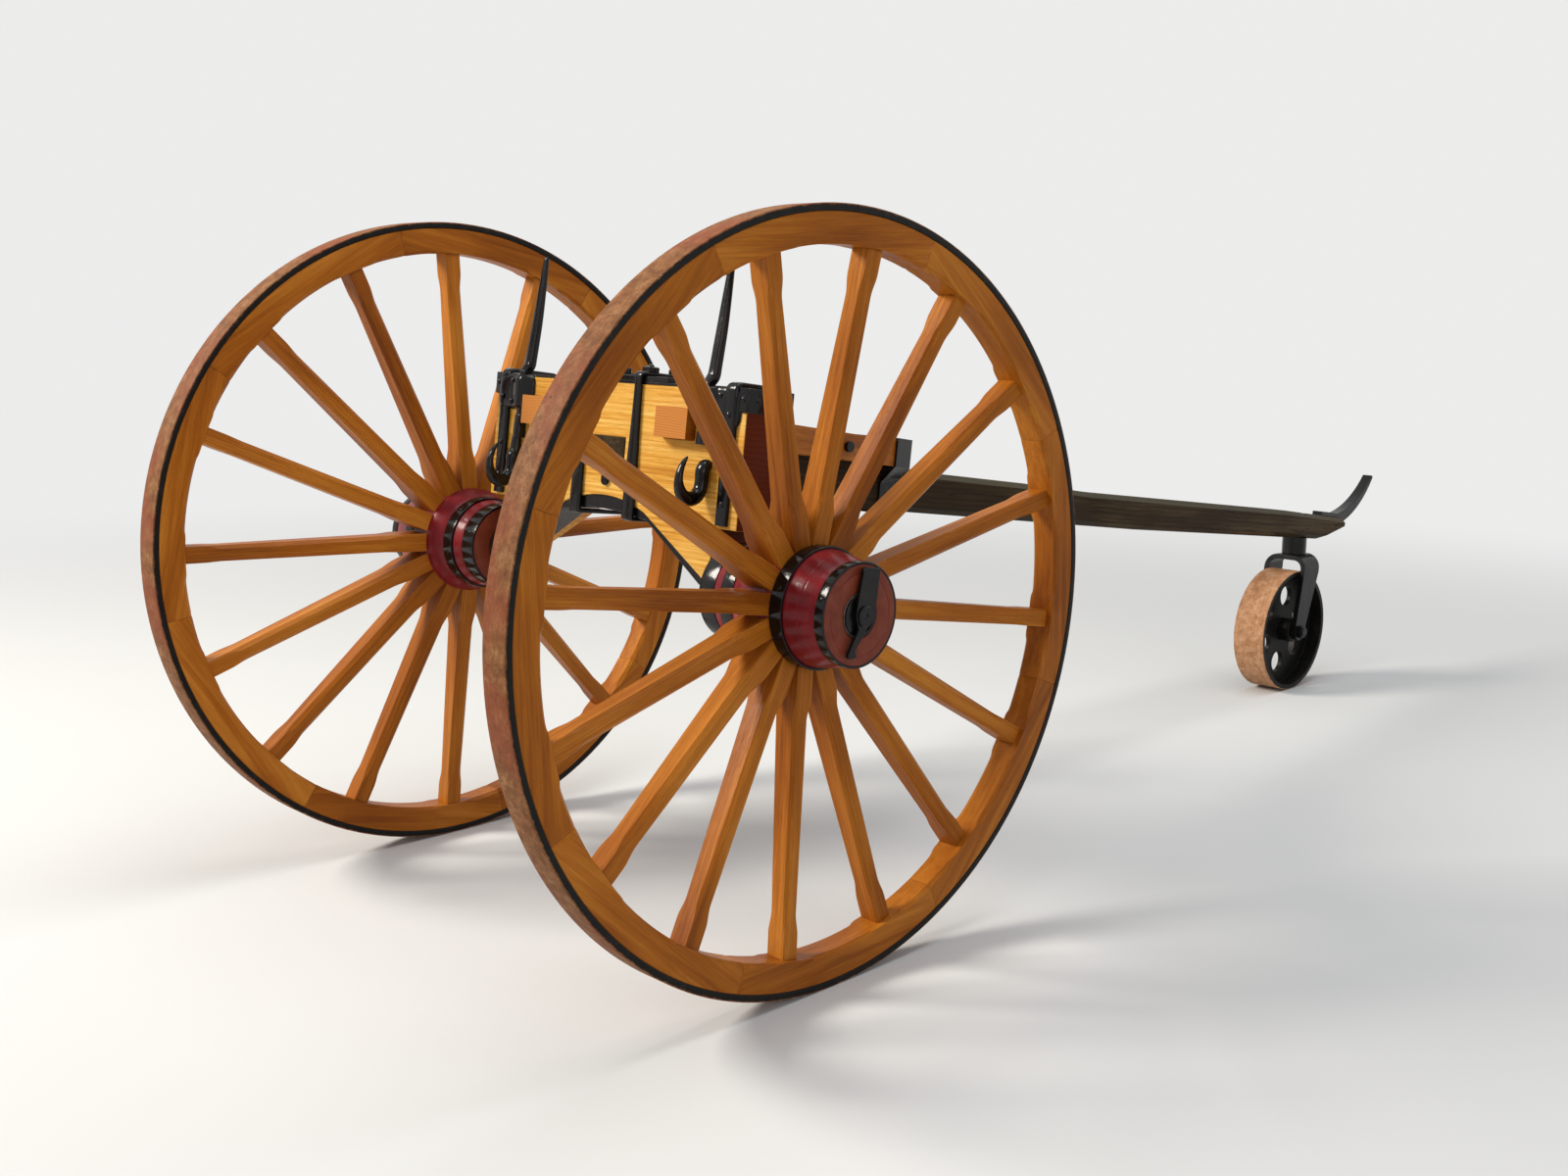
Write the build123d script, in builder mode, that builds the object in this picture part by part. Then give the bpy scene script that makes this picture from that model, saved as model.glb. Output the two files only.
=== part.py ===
"""Two-wheeled timber carriage: a high axle block on spoked wheels, with a long pole carried by a castor.

Frame: origin on the ground under the middle of the axle, +X along the pole, +Y to the far wheel, +Z up.
The block, arms and pole sit nose-down on the axle, so they are drawn on pitched planes through it:
p is forward along the pole, y is across and q is up, all from the middle of the axle.
"""

import os
from math import asin, atan2, cos, degrees, hypot, radians, sin, sqrt, tan

from build123d import *

# Wheels
wheel_radius = 925
track = 1610
tyre_thickness = 18
tyre_width = 80
felloe_depth = 72
felloe_width = 77
felloe_gap = 0.6
felloe_count = 8
felloe_chamfer = 9
spoke_count = 16
spoke_across = 46
spoke_foot_across = 52
spoke_foot_axial = 87
spoke_rim_axial = 56
spoke_foot_offset = -83
spoke_rim_offset = -6
spoke_chamfer = 10
spoke_arris = 1
spoke_foot_length = 66
spoke_rim_stop = 52
spoke_stop_run = 52
tenon_across = 30
tenon_axial = 70
tenon_depth = 50
joint_clearance = 0.2

# Naves, along the axle from the wheel's middle plane, outboard positive
nave_inner_end = -315
nave_outer_end = 110
nave_radius = 152
nave_end_radius = 118
nave_inner_radius = 114
band_thickness = 6.5

# Axle
arm_root_radius = 50
arm_tip_radius = 42
box_wall = 12
running_clearance = 0.05
collar_radius = 62
collar_length = 44
collar_face_gap = 5
arm_overhang = 24
pin_thickness = 10
pin_width = 26
pin_head_width = 66
pin_reach = 112
pin_tail = 98
pin_tail_rake = 30
axle_bar_width = 92
bar_thickness = 18
bar_crown_depth = 36

# Block
block_rear = -48
block_thickness = 150
block_half_length = 525
block_top = 490
nave_clearance = 29.5
leg_foot_width = 29
leg_bottom = 22
arch_half_span = 170
arch_shoulder = 160
arch_crown = 192

# Ironwork on the block, placed inward from the block's end
plate_thickness = 8
bridge_thickness = 14
bridge_half_length = 223
strap_thickness = 12
pole_strap_width = 46
pole_strap_offset = 113
nut_side = 40
nut_height = 14
nut_inset = 30
end_strap_width = 40
end_strap_inset = 49
end_strap_corner = 16
end_strap_lift = 8
keeper_width = 160
keeper_height = 108
keeper_inset = 18
cap_thickness = 6
cap_drop = 60
stake_inset = 137
stake_foot = 318
stake_thickness = 22
stake_jog = 20
stake_jog_rise = 22
stake_waist_height = 650
stake_waist_thickness = 18
stake_waist_lean = 32
stake_top = 826
stake_tip_thickness = 13
stake_tip_lean = 44
hook_inset = 121
hook_width = 34
hook_stem = 34
hook_eye = 26
hook_floor = 37
hook_prong = 16
hook_rise = 59
hook_to_stake = 4
near_hook_height = 262
far_hook_height = 240
tongue_width = 28
tongue_thickness = 10
tongue_length = 64
tongue_offset = -5

# Arms
arm_width = 122
arm_depth = 78
arm_rear = -86
arm_rear_height = 360
arm_front_height = 331
arm_inset = 236
arm_meet = 950
arm_meet_offset = 60
arm_bolt_position = 676
arm_bolt_radius = 11
arm_bolt_flange = 5
arm_bolt_head = 12
arm_band_width = 88
arm_band_thickness = 8
arm_end_reach = 5
arm_end_chamfer = 10

# Pole
pole_rear_width = 140
pole_front_width = 108
pole_front = 4005
pole_tenon_bottom = 282
pole_tenon_top = 348
pole_underside = 174
pole_chamfer = 18
nose_top = 269
nose_thickness = 33
nose_cut = 215
nose_strap = 160
nose_strap_thickness = 18
nose_hook_width = 44
nose_hook_reach = 271
nose_hook_rise = 193

# Castor
castor_radius = 253
castor_width = 136
castor_trail = 84
castor_rim = 20
castor_web = 20
castor_hub_radius = 48
castor_hole_radius = 42
castor_hole_count = 6
castor_hole_start = -99
castor_axle_radius = 18
castor_axle_reach = 24
castor_nut_radius = 28
castor_nut_height = 18
castor_side_gap = 6
castor_top_gap = 42
fork_thickness = 20
fork_corner = 56
fork_foot_radius = 38
crown_length = 110
crown_depth = 70
swivel_x = 3669
socket_radius = 50
socket_height = 68.9
socket_gap = 1
king_pin_radius = 22
king_pin_clearance = 1
king_nut_side = 56
king_nut_height = 22
king_nut_depth = 30
seat_gap = 0.3

# The pole's underside rests on the castor's socket, which sets how far the carriage leans nose-down.
crown_top = 2 * castor_radius + castor_top_gap + fork_thickness
socket_drop = wheel_radius - crown_top - socket_height
nose_down = degrees(atan2(socket_drop, swivel_x) + asin(pole_underside / hypot(swivel_x, socket_drop)))
axle_centre = (0, 0, wheel_radius)
forward = (cos(radians(nose_down)), 0, -sin(radians(nose_down)))
upward = (sin(radians(nose_down)), 0, cos(radians(nose_down)))
side = Plane(origin=axle_centre, x_dir=forward, z_dir=(0, -1, 0))
cross = Plane(origin=axle_centre, x_dir=(0, 1, 0), z_dir=forward)
deck = Plane(origin=axle_centre, x_dir=forward, z_dir=upward)

block_front = block_rear + block_thickness
plate_top = block_top + plate_thickness
bridge_top = plate_top + bridge_thickness
nave_inner_face = track / 2 + nave_inner_end
nave_outer_face = track / 2 + nave_outer_end
collar_face = nave_inner_face - collar_face_gap
leg_outer = collar_face - collar_length
leg_foot = leg_outer - leg_foot_width
overhang_underside = nave_inner_radius + band_thickness + nave_clearance
arm_band_start = arm_meet + 2
arm_band_end = arm_band_start + arm_band_width
arm_front = arm_band_end + arm_end_reach
arm_rear_offset = block_half_length - arm_inset
arm_slope = (arm_rear_offset - arm_meet_offset) / (arm_meet - arm_rear)

# place along the pole and height there
arm_undersides = (
    (arm_rear, arm_rear_height),
    (arm_front, arm_front_height),
)


def height_at(stations, place):
    """Height of the line through these stations at a place along the pole, or of its nearer end piece."""
    for (start, low), (end, high) in zip(stations, stations[1:]):
        if place <= end:
            break
    return low + (high - low) * (place - start) / (end - start)


def finish(piece, name):
    """Labels a finished piece and writes it as its own file."""
    piece.part.label = name
    export_step(piece.part, f"parts/{name}.step")


os.makedirs("parts", exist_ok=True)

# The wheel's pieces are drawn with the axle along Z, outboard up, and the first spoke along X.
felloe_outer = wheel_radius - tyre_thickness
felloe_inner = felloe_outer - felloe_depth
bay = 360 / spoke_count

with BuildPart() as tyre:
    with BuildSketch():
        Circle(wheel_radius)
        Circle(felloe_outer, mode=Mode.SUBTRACT)
    extrude(amount=tyre_width / 2, both=True)
    chamfer(tyre.edges().filter_by(GeomType.CIRCLE).group_by(SortBy.RADIUS)[-1], 3)

with BuildPart() as felloes:
    with BuildSketch():
        Circle(felloe_outer)
        Circle(felloe_inner, mode=Mode.SUBTRACT)
        with PolarLocations(0, felloe_count, start_angle=bay / 2):
            with Locations((felloe_inner + felloe_depth / 2, 0)):
                Rectangle(felloe_depth * 2, felloe_gap, mode=Mode.SUBTRACT)
    extrude(amount=felloe_width / 2, both=True)
    chamfer_stop = 3.4
    with PolarLocations(0, spoke_count, start_angle=chamfer_stop):
        with BuildSketch(Plane.XZ):
            for face in (-1, 1):
                with BuildLine():
                    Polyline(
                        (felloe_inner - 1, face * (felloe_width / 2 - felloe_chamfer)),
                        (felloe_inner, face * (felloe_width / 2 - felloe_chamfer)),
                        (felloe_inner + felloe_chamfer, face * felloe_width / 2),
                        (felloe_inner + felloe_chamfer, face * (felloe_width / 2 + 1)),
                        (felloe_inner - 1, face * (felloe_width / 2 + 1)),
                        close=True,
                    )
                make_face()
        revolve(axis=Axis.Z, revolution_arc=bay - 2 * chamfer_stop, mode=Mode.SUBTRACT)

# Each spoke leans outboard from the nave to the rim, with chamfers that stop short of both ends.
spoke_end = sqrt((felloe_inner - seat_gap) ** 2 - (spoke_across / 2) ** 2)
spoke_length = spoke_end - nave_radius
dish = (spoke_rim_offset - spoke_foot_offset) / spoke_length
taper = (spoke_rim_axial - spoke_foot_axial) / spoke_length
foot_stop = nave_radius + spoke_foot_length
rim_stop = spoke_end - spoke_rim_stop
# radius, size along the rim, size along the axle, chamfer
spoke_sections = (
    (nave_radius - 12, spoke_foot_across, spoke_foot_axial, spoke_arris),
    (foot_stop, spoke_foot_across, spoke_foot_axial + taper * spoke_foot_length * 1.5, spoke_arris),
    (
        foot_stop + spoke_stop_run,
        spoke_across + 2,
        spoke_foot_axial + taper * (spoke_foot_length + spoke_stop_run) * 2.2,
        spoke_chamfer,
    ),
    (rim_stop - spoke_stop_run, spoke_across - 2, spoke_rim_axial + 2, spoke_chamfer),
    (rim_stop, spoke_across, spoke_rim_axial, spoke_arris),
    (spoke_end, spoke_across, spoke_rim_axial, spoke_arris),
)

with BuildPart() as spoke:
    for radius, across, axial, bevel in spoke_sections:
        with BuildSketch(Plane.YZ.offset(radius)) as section:
            with Locations((0, spoke_foot_offset + dish * (radius - nave_radius))):
                Rectangle(across, axial)
            chamfer(section.vertices(), bevel)
    loft(ruled=True)
    with Locations((0, 0, spoke_foot_offset)):
        Cylinder(nave_radius, 2 * spoke_foot_axial, mode=Mode.SUBTRACT)
    with BuildSketch(Plane.YZ.offset(nave_radius + 1)):
        with Locations((0, spoke_foot_offset)):
            Rectangle(tenon_across, tenon_axial)
    extrude(amount=-tenon_depth)

with BuildPart() as spokes:
    with PolarLocations(0, spoke_count):
        add(spoke.part)

# first and last place along the axle of each band, and the nave's radius under it
inner_band = (nave_inner_end, nave_inner_end + 58, nave_inner_radius)
shoulder_band = (nave_inner_end + 88, nave_inner_end + 135, nave_inner_radius + 12)
spoke_band = (-35, 0, nave_radius - 11)
end_band = (nave_outer_end - 27, nave_outer_end, nave_end_radius)
bands = (inner_band, shoulder_band, spoke_band, end_band)
# radius and place along the axle of the nave's outline, bands seated in its steps
nave_outline = (
    (arm_root_radius + box_wall, nave_inner_end),
    (inner_band[2], inner_band[0]),
    (inner_band[2], inner_band[1]),
    (inner_band[2] + 5, inner_band[1]),
    (shoulder_band[2] + 1, shoulder_band[0]),
    (shoulder_band[2], shoulder_band[0]),
    (shoulder_band[2], shoulder_band[1]),
    (shoulder_band[2] + 5, shoulder_band[1]),
    (nave_radius - 6, nave_inner_end + 165),
    (nave_radius, nave_inner_end + 178),
    (nave_radius, spoke_band[0] - 4),
    (nave_radius - 4, spoke_band[0]),
    (spoke_band[2], spoke_band[0]),
    (spoke_band[2], spoke_band[1]),
    (spoke_band[2] - 2, spoke_band[1] + 3),
    (spoke_band[2] - 8, 43),
    (spoke_band[2] - 11, 45),
    (spoke_band[2] - 8.5, 47),
    (end_band[2] + 6, end_band[0] - 3),
    (end_band[2] + 5, end_band[0]),
    (end_band[2], end_band[0]),
    (end_band[2], end_band[1]),
    (arm_tip_radius + box_wall, nave_outer_end),
)

with BuildPart() as nave:
    with BuildSketch(Plane.XZ):
        with BuildLine():
            Polyline(*nave_outline, close=True)
        make_face()
    revolve(axis=Axis.Z)
    with PolarLocations(0, spoke_count):
        with Locations((nave_radius + 10 - (tenon_depth + 20) / 2, 0, spoke_foot_offset)):
            Box(
                tenon_depth + 20,
                tenon_across + 2 * joint_clearance,
                tenon_axial + 2 * joint_clearance,
                mode=Mode.SUBTRACT,
            )

with BuildPart() as nave_bands:
    with BuildSketch(Plane.XZ):
        for start, end, radius in bands:
            with Locations((radius + band_thickness / 2, (start + end) / 2)):
                Rectangle(band_thickness, end - start)
    revolve(axis=Axis.Z)

with BuildPart() as axle_box:
    with BuildSketch(Plane.XZ):
        with BuildLine():
            Polyline(
                (arm_root_radius + running_clearance, nave_inner_end),
                (arm_root_radius + box_wall, nave_inner_end),
                (arm_tip_radius + box_wall, nave_outer_end),
                (arm_tip_radius + running_clearance, nave_outer_end),
                close=True,
            )
        make_face()
    revolve(axis=Axis.Z)

wheel_pieces = (
    ("tyre", tyre),
    ("felloes", felloes),
    ("spokes", spokes),
    ("nave", nave),
    ("nave_bands", nave_bands),
    ("axle_box", axle_box),
)
# name, side of the carriage, angle of the first spoke above the pole's direction
wheels = (
    ("near", -1, 13.4),
    ("far", 1, 20.5),
)
for wheel, hand, angle in wheels:
    seat = Plane(
        origin=(0, hand * track / 2, wheel_radius),
        x_dir=(cos(radians(angle)), 0, sin(radians(angle))),
        z_dir=(0, hand, 0),
    )
    for name, piece in wheel_pieces:
        with BuildPart() as placed:
            with Locations(seat.location):
                add(piece.part)
        finish(placed, f"{wheel}_{name}")

# Axle: one forging that follows the block's underside and turns out into a tapered arm at each end.
arm_end = nave_outer_face + arm_overhang
arm_taper = (arm_tip_radius - arm_root_radius) / (nave_outer_end - nave_inner_end)
arm_end_radius = arm_tip_radius + arm_taper * arm_overhang
pin_place = nave_outer_face + arm_overhang / 2
bar_shoulder = arch_shoulder - bar_thickness
bar_crown = arch_crown - bar_crown_depth
bar_half_span = arch_half_span - 6

with BuildPart() as crank_axle:
    with BuildSketch(cross):
        with BuildLine():
            ThreePointArc((-arch_half_span, arch_shoulder), (0, arch_crown), (arch_half_span, arch_shoulder))
            Polyline(
                (arch_half_span, arch_shoulder),
                (leg_foot, leg_bottom),
                (leg_outer, leg_bottom),
                (leg_outer, leg_bottom - bar_thickness),
                (leg_foot - 8, leg_bottom - bar_thickness),
                (arch_half_span + 8, bar_shoulder),
                (bar_half_span, bar_shoulder),
            )
            ThreePointArc((bar_half_span, bar_shoulder), (0, bar_crown), (-bar_half_span, bar_shoulder))
            Polyline(
                (-bar_half_span, bar_shoulder),
                (-arch_half_span - 8, bar_shoulder),
                (8 - leg_foot, leg_bottom - bar_thickness),
                (-leg_outer, leg_bottom - bar_thickness),
                (-leg_outer, leg_bottom),
                (-leg_foot, leg_bottom),
                (-arch_half_span, arch_shoulder),
            )
        make_face()
    extrude(amount=axle_bar_width / 2, both=True)
    for hand in (-1, 1):
        with BuildSketch(Plane.XY.offset(wheel_radius)):
            with BuildLine():
                Polyline(
                    (0, hand * leg_outer),
                    (collar_radius, hand * leg_outer),
                    (collar_radius, hand * (leg_outer + 0.6 * collar_length)),
                    (collar_radius - 6, hand * (leg_outer + 0.7 * collar_length)),
                    (collar_radius - 6, hand * collar_face),
                    (arm_root_radius - arm_taper * collar_face_gap, hand * collar_face),
                    (arm_end_radius, hand * (arm_end - 4)),
                    (arm_end_radius - 4, hand * arm_end),
                    (0, hand * arm_end),
                    close=True,
                )
            make_face()
        revolve(axis=Axis(origin=axle_centre, direction=(0, 1, 0)))
        with BuildSketch(deck):
            with Locations((0, hand * pin_place)):
                Rectangle(pin_width + 2 * joint_clearance, pin_thickness + 2 * joint_clearance)
        extrude(amount=2 * arm_root_radius, both=True, mode=Mode.SUBTRACT)
finish(crank_axle, "crank_axle")

for wheel, hand, angle in wheels:
    with BuildPart() as linchpin:
        with BuildSketch(side.offset(-hand * pin_place)):
            with BuildLine():
                Polyline(
                    (-pin_width / 2, -arm_tip_radius - 4),
                    (-pin_width / 2 - pin_tail_rake, -pin_tail),
                    (pin_width / 2 - pin_tail_rake, -pin_tail),
                    (pin_width / 2, -arm_tip_radius - 4),
                    (pin_width / 2, arm_tip_radius + 4),
                    (pin_head_width / 2, arm_tip_radius + 14),
                    (pin_head_width / 2, pin_reach - 10),
                    (pin_head_width / 2 - 10, pin_reach),
                    (10 - pin_head_width / 2, pin_reach),
                    (-pin_head_width / 2, pin_reach - 10),
                    (-pin_head_width / 2, arm_tip_radius + 14),
                    (-pin_width / 2, arm_tip_radius + 4),
                    close=True,
                )
            make_face()
        extrude(amount=pin_thickness / 2, both=True)
    finish(linchpin, f"{wheel}_linchpin")

# Pole: one long timber, tapered in plan, with a tenon through the block and a cut-up nose.
shelf_start = 600
pole_tops = (
    (block_rear - 2, pole_tenon_top),
    (shelf_start, height_at(arm_undersides, shelf_start)),
    (arm_front, arm_front_height),
    (arm_front + 205, 320),
    (1700, 311),
    (2100, 297),
    (3500, 285),
    (pole_front, nose_top),
)
pole_undersides = (
    (block_front + seat_gap, 210),
    (1200, 191),
    (2400, pole_underside),
    (pole_front - nose_cut, pole_underside),
    (pole_front, nose_top - nose_thickness),
)
fore_start = arm_front + 30


def pole_edge(place):
    """Half width of the pole at a place along it."""
    taper = (pole_rear_width - pole_front_width) / 2 / (pole_front - block_rear)
    return pole_rear_width / 2 - taper * (place - block_rear)


with BuildPart() as pole_butt:
    with BuildSketch(side):
        with BuildLine():
            Polyline(
                *[station for station in pole_tops if station[0] < fore_start],
                (fore_start, height_at(pole_tops, fore_start)),
                (fore_start, height_at(pole_undersides, fore_start)),
                pole_undersides[0],
                (block_front + seat_gap, pole_tenon_bottom),
                (block_rear - 2, pole_tenon_bottom),
                close=True,
            )
        make_face()
    extrude(amount=pole_rear_width, both=True)
    with BuildSketch(deck):
        with BuildLine():
            Polyline(
                (block_rear - 2, pole_edge(block_rear)),
                (fore_start, pole_edge(fore_start)),
                (fore_start, -pole_edge(fore_start)),
                (block_rear - 2, -pole_edge(block_rear)),
                close=True,
            )
        make_face()
    extrude(amount=2 * block_top, mode=Mode.INTERSECT)

swivel_place = swivel_x / cos(radians(nose_down))
swivel_top = wheel_radius - swivel_x * tan(radians(nose_down))
swivel_top += height_at(pole_tops, swivel_place) / cos(radians(nose_down))
nut_seat = swivel_top - king_nut_depth

with BuildPart() as pole:
    with BuildSketch(side):
        with BuildLine():
            Polyline(
                (fore_start, height_at(pole_undersides, fore_start)),
                (fore_start, height_at(pole_tops, fore_start)),
                *[station for station in pole_tops if station[0] > fore_start],
                *[station for station in reversed(pole_undersides) if station[0] > fore_start],
                close=True,
            )
        make_face()
    extrude(amount=pole_rear_width, both=True)
    with BuildSketch(deck):
        with BuildLine():
            Polyline(
                (fore_start, pole_edge(fore_start)),
                (pole_front, pole_edge(pole_front)),
                (pole_front, -pole_edge(pole_front)),
                (fore_start, -pole_edge(fore_start)),
                close=True,
            )
        make_face()
    extrude(amount=2 * block_top, mode=Mode.INTERSECT)
    corners = pole.edges().filter_by(lambda edge: abs(edge.center().Y) > 0.9 * pole_front_width / 2)
    corners = corners.filter_by(lambda edge: edge.length > nose_cut + pole_chamfer)
    chamfer(corners, pole_chamfer)
    add(pole_butt.part)
    with BuildSketch(Plane.XY):
        with Locations((swivel_x, 0)):
            Circle(king_pin_radius + king_pin_clearance)
    extrude(amount=wheel_radius, mode=Mode.SUBTRACT)
    with BuildSketch(Plane.XY.offset(nut_seat)):
        with Locations((swivel_x, 0)):
            Circle(king_nut_side * 0.8)
    extrude(amount=wheel_radius, mode=Mode.SUBTRACT)
finish(pole, "pole")

# Arms lie on the pole and pass out through the block, spreading rearward.
arm_joint = arm_rear + (arm_rear_offset - arm_width / 2 + seat_gap) / arm_slope


def arm_edge(place):
    """Outer edge of an arm, out from the middle of the pole."""
    return arm_rear_offset - arm_slope * (place - arm_rear) + arm_width / 2


bolt_height = height_at(arm_undersides, arm_bolt_position) + arm_depth / 2
with BuildPart() as arms:
    with BuildSketch(deck):
        for hand in (-1, 1):
            with BuildLine():
                Polyline(
                    (arm_rear, hand * arm_edge(arm_rear)),
                    (arm_rear, hand * (arm_edge(arm_rear) - arm_width)),
                    (arm_joint, hand * seat_gap / 2),
                    (arm_front, hand * seat_gap / 2),
                    (arm_front, hand * (arm_edge(arm_front) - arm_end_chamfer)),
                    (arm_front - arm_end_chamfer, hand * arm_edge(arm_front - arm_end_chamfer)),
                    close=True,
                )
            make_face()
    extrude(amount=2 * block_top)
    with BuildSketch(side):
        with BuildLine():
            Polyline(
                (arm_rear, arm_rear_height),
                (arm_front, arm_front_height),
                (arm_front, arm_front_height + arm_depth),
                (arm_rear, arm_rear_height + arm_depth),
                close=True,
            )
        make_face()
    extrude(amount=block_half_length, both=True, mode=Mode.INTERSECT)
    with BuildSketch(side):
        with Locations((arm_bolt_position, bolt_height)):
            Circle(arm_bolt_radius)
    extrude(amount=block_half_length, both=True, mode=Mode.SUBTRACT)
finish(arms, "arms")

bolt_reach = arm_edge(arm_bolt_position - arm_bolt_radius - arm_bolt_flange) + seat_gap
with BuildPart() as arm_bolt:
    with BuildSketch(side):
        with Locations((arm_bolt_position, bolt_height)):
            Circle(arm_bolt_radius)
    extrude(amount=bolt_reach + arm_bolt_head, both=True)
    for hand in (-1, 1):
        with BuildSketch(side.offset(hand * bolt_reach)):
            with Locations((arm_bolt_position, bolt_height)):
                Circle(arm_bolt_radius + arm_bolt_flange)
        extrude(amount=hand * arm_bolt_head)
finish(arm_bolt, "arm_bolt")

# Band round both arms and the pole, narrower below where it grips the pole.
with BuildPart() as arm_band:
    for grow, mode in ((arm_band_thickness, Mode.ADD), (0, Mode.SUBTRACT)):
        for place in (arm_band_start, arm_band_end):
            wide = arm_edge(place) + seat_gap + grow
            narrow = pole_edge(place) + seat_gap + grow
            seat_height = height_at(arm_undersides, place)
            top = seat_height + arm_depth + seat_gap + grow
            bottom = height_at(pole_undersides, arm_band_end) - seat_gap - grow
            with BuildSketch(cross.offset(place)):
                with BuildLine():
                    Polyline(
                        (wide, top),
                        (wide, seat_height),
                        (narrow, seat_height - (wide - narrow)),
                        (narrow, bottom),
                        (-narrow, bottom),
                        (-narrow, seat_height - (wide - narrow)),
                        (-wide, seat_height),
                        (-wide, top),
                        close=True,
                    )
                make_face()
        loft(ruled=True, mode=mode)
finish(arm_band, "arm_band")

# Block: sawn from one timber, arched below and cut for the pole's tenon and both arms.
with BuildPart() as arm_slots:
    with BuildSketch(deck):
        for hand in (-1, 1):
            with BuildLine():
                Polyline(
                    (arm_rear, hand * (arm_edge(arm_rear) + seat_gap)),
                    (arm_rear, hand * (arm_edge(arm_rear) - arm_width - seat_gap)),
                    (2 * block_front, hand * (arm_edge(2 * block_front) - arm_width - seat_gap)),
                    (2 * block_front, hand * (arm_edge(2 * block_front) + seat_gap)),
                    close=True,
                )
            make_face()
    extrude(amount=2 * block_top)
    with BuildSketch(side):
        with BuildLine():
            Polyline(
                (arm_rear, arm_rear_height),
                (arm_front, arm_front_height),
                (arm_front, arm_front_height + arm_depth + seat_gap),
                (arm_rear, arm_rear_height + arm_depth + seat_gap),
                close=True,
            )
        make_face()
    extrude(amount=block_half_length, both=True, mode=Mode.INTERSECT)

with BuildPart() as axle_block:
    with BuildSketch(cross.offset(block_rear)):
        with BuildLine():
            ThreePointArc((-arch_half_span, arch_shoulder), (0, arch_crown), (arch_half_span, arch_shoulder))
            Polyline(
                (arch_half_span, arch_shoulder),
                (leg_foot, leg_bottom),
                (leg_outer, leg_bottom),
                (leg_outer, overhang_underside),
                (block_half_length, overhang_underside),
                (block_half_length, block_top),
                (-block_half_length, block_top),
                (-block_half_length, overhang_underside),
                (-leg_outer, overhang_underside),
                (-leg_outer, leg_bottom),
                (-leg_foot, leg_bottom),
                (-arch_half_span, arch_shoulder),
            )
        make_face()
    extrude(amount=block_thickness)
    with BuildSketch(side):
        with BuildLine():
            Polyline(
                (block_rear - 9, pole_tenon_bottom - seat_gap),
                (block_front + 9, pole_tenon_bottom - seat_gap),
                (block_front + 9, height_at(pole_tops, block_front + 9) + seat_gap),
                (block_rear - 9, height_at(pole_tops, block_rear - 9) + seat_gap),
                close=True,
            )
        make_face()
    extrude(amount=pole_rear_width / 2 + seat_gap, both=True, mode=Mode.SUBTRACT)
    add(arm_slots.part, mode=Mode.SUBTRACT)
finish(axle_block, "axle_block")

# Ironwork over the block
with BuildPart() as top_plate:
    with BuildSketch(deck.offset(block_top)):
        with Locations(((block_rear + block_front) / 2, 0)):
            Rectangle(block_thickness, 2 * block_half_length)
    extrude(amount=plate_thickness)
finish(top_plate, "top_plate")

with BuildPart() as bridge_plate:
    with BuildSketch(deck.offset(plate_top)):
        with Locations(((block_rear + block_front) / 2, 0)):
            Rectangle(block_thickness, 2 * bridge_half_length)
    extrude(amount=bridge_thickness)
finish(bridge_plate, "bridge_plate")

# The pole straps run down both faces and close under the axle's bar, below its arc at their outer edge.
strap_edge = pole_strap_offset + pole_strap_width / 2
bar_rise = bar_crown - bar_shoulder
bar_arc_radius = (bar_half_span**2 + bar_rise**2) / (2 * bar_rise)
strap_bottom = bar_crown - bar_arc_radius + sqrt(bar_arc_radius**2 - strap_edge**2) - seat_gap
with BuildPart() as pole_straps:
    for hand in (-1, 1):
        with BuildSketch(side.offset(hand * pole_strap_offset)):
            with BuildLine():
                Polyline(
                    (block_rear - strap_thickness, strap_bottom - strap_thickness),
                    (block_front + strap_thickness, strap_bottom - strap_thickness),
                    (block_front + strap_thickness, bridge_top + strap_thickness),
                    (block_rear - strap_thickness, bridge_top + strap_thickness),
                    close=True,
                )
            make_face()
            with BuildLine():
                Polyline(
                    (block_rear, strap_bottom),
                    (block_front, strap_bottom),
                    (block_front, bridge_top),
                    (block_rear, bridge_top),
                    close=True,
                )
            make_face(mode=Mode.SUBTRACT)
        extrude(amount=pole_strap_width / 2, both=True)
        with BuildSketch(deck.offset(bridge_top + strap_thickness)):
            with Locations(
                (block_rear + nut_inset, hand * pole_strap_offset),
                (block_front - nut_inset, hand * pole_strap_offset),
            ):
                Rectangle(nut_side, nut_side)
        extrude(amount=nut_height)
finish(pole_straps, "pole_straps")

end_strap_offset = block_half_length - end_strap_inset
stake_offset = block_half_length - stake_inset
hook_offset = block_half_length - hook_inset
keeper_offset = block_half_length - keeper_inset - keeper_width / 2
keeper_middle = plate_top - keeper_height / 2
stake_place = block_rear - seat_gap - stake_thickness / 2
strap_foot = overhang_underside + end_strap_lift
strap_rear = block_rear - strap_thickness
strap_front = block_front + strap_thickness
strap_top = plate_top + strap_thickness
cap_side = block_half_length + cap_thickness
cap_rear = block_rear - cap_thickness
# height on the pitched planes, forward lean, thickness
stake_sections = (
    (stake_foot, 0, stake_thickness),
    (plate_top + 2, 0, stake_thickness),
    (plate_top + stake_jog_rise, stake_jog, stake_thickness),
    (stake_waist_height, stake_waist_lean, stake_waist_thickness),
    (stake_top, stake_tip_lean, stake_tip_thickness),
)
hook_top = stake_foot - hook_to_stake
hook_front = block_rear - seat_gap
hook_throat = hook_front - hook_stem
hook_middle = hook_throat - hook_eye
hook_back = hook_middle - hook_eye
hook_radius = (hook_front - hook_back + hook_prong) / 2
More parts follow.
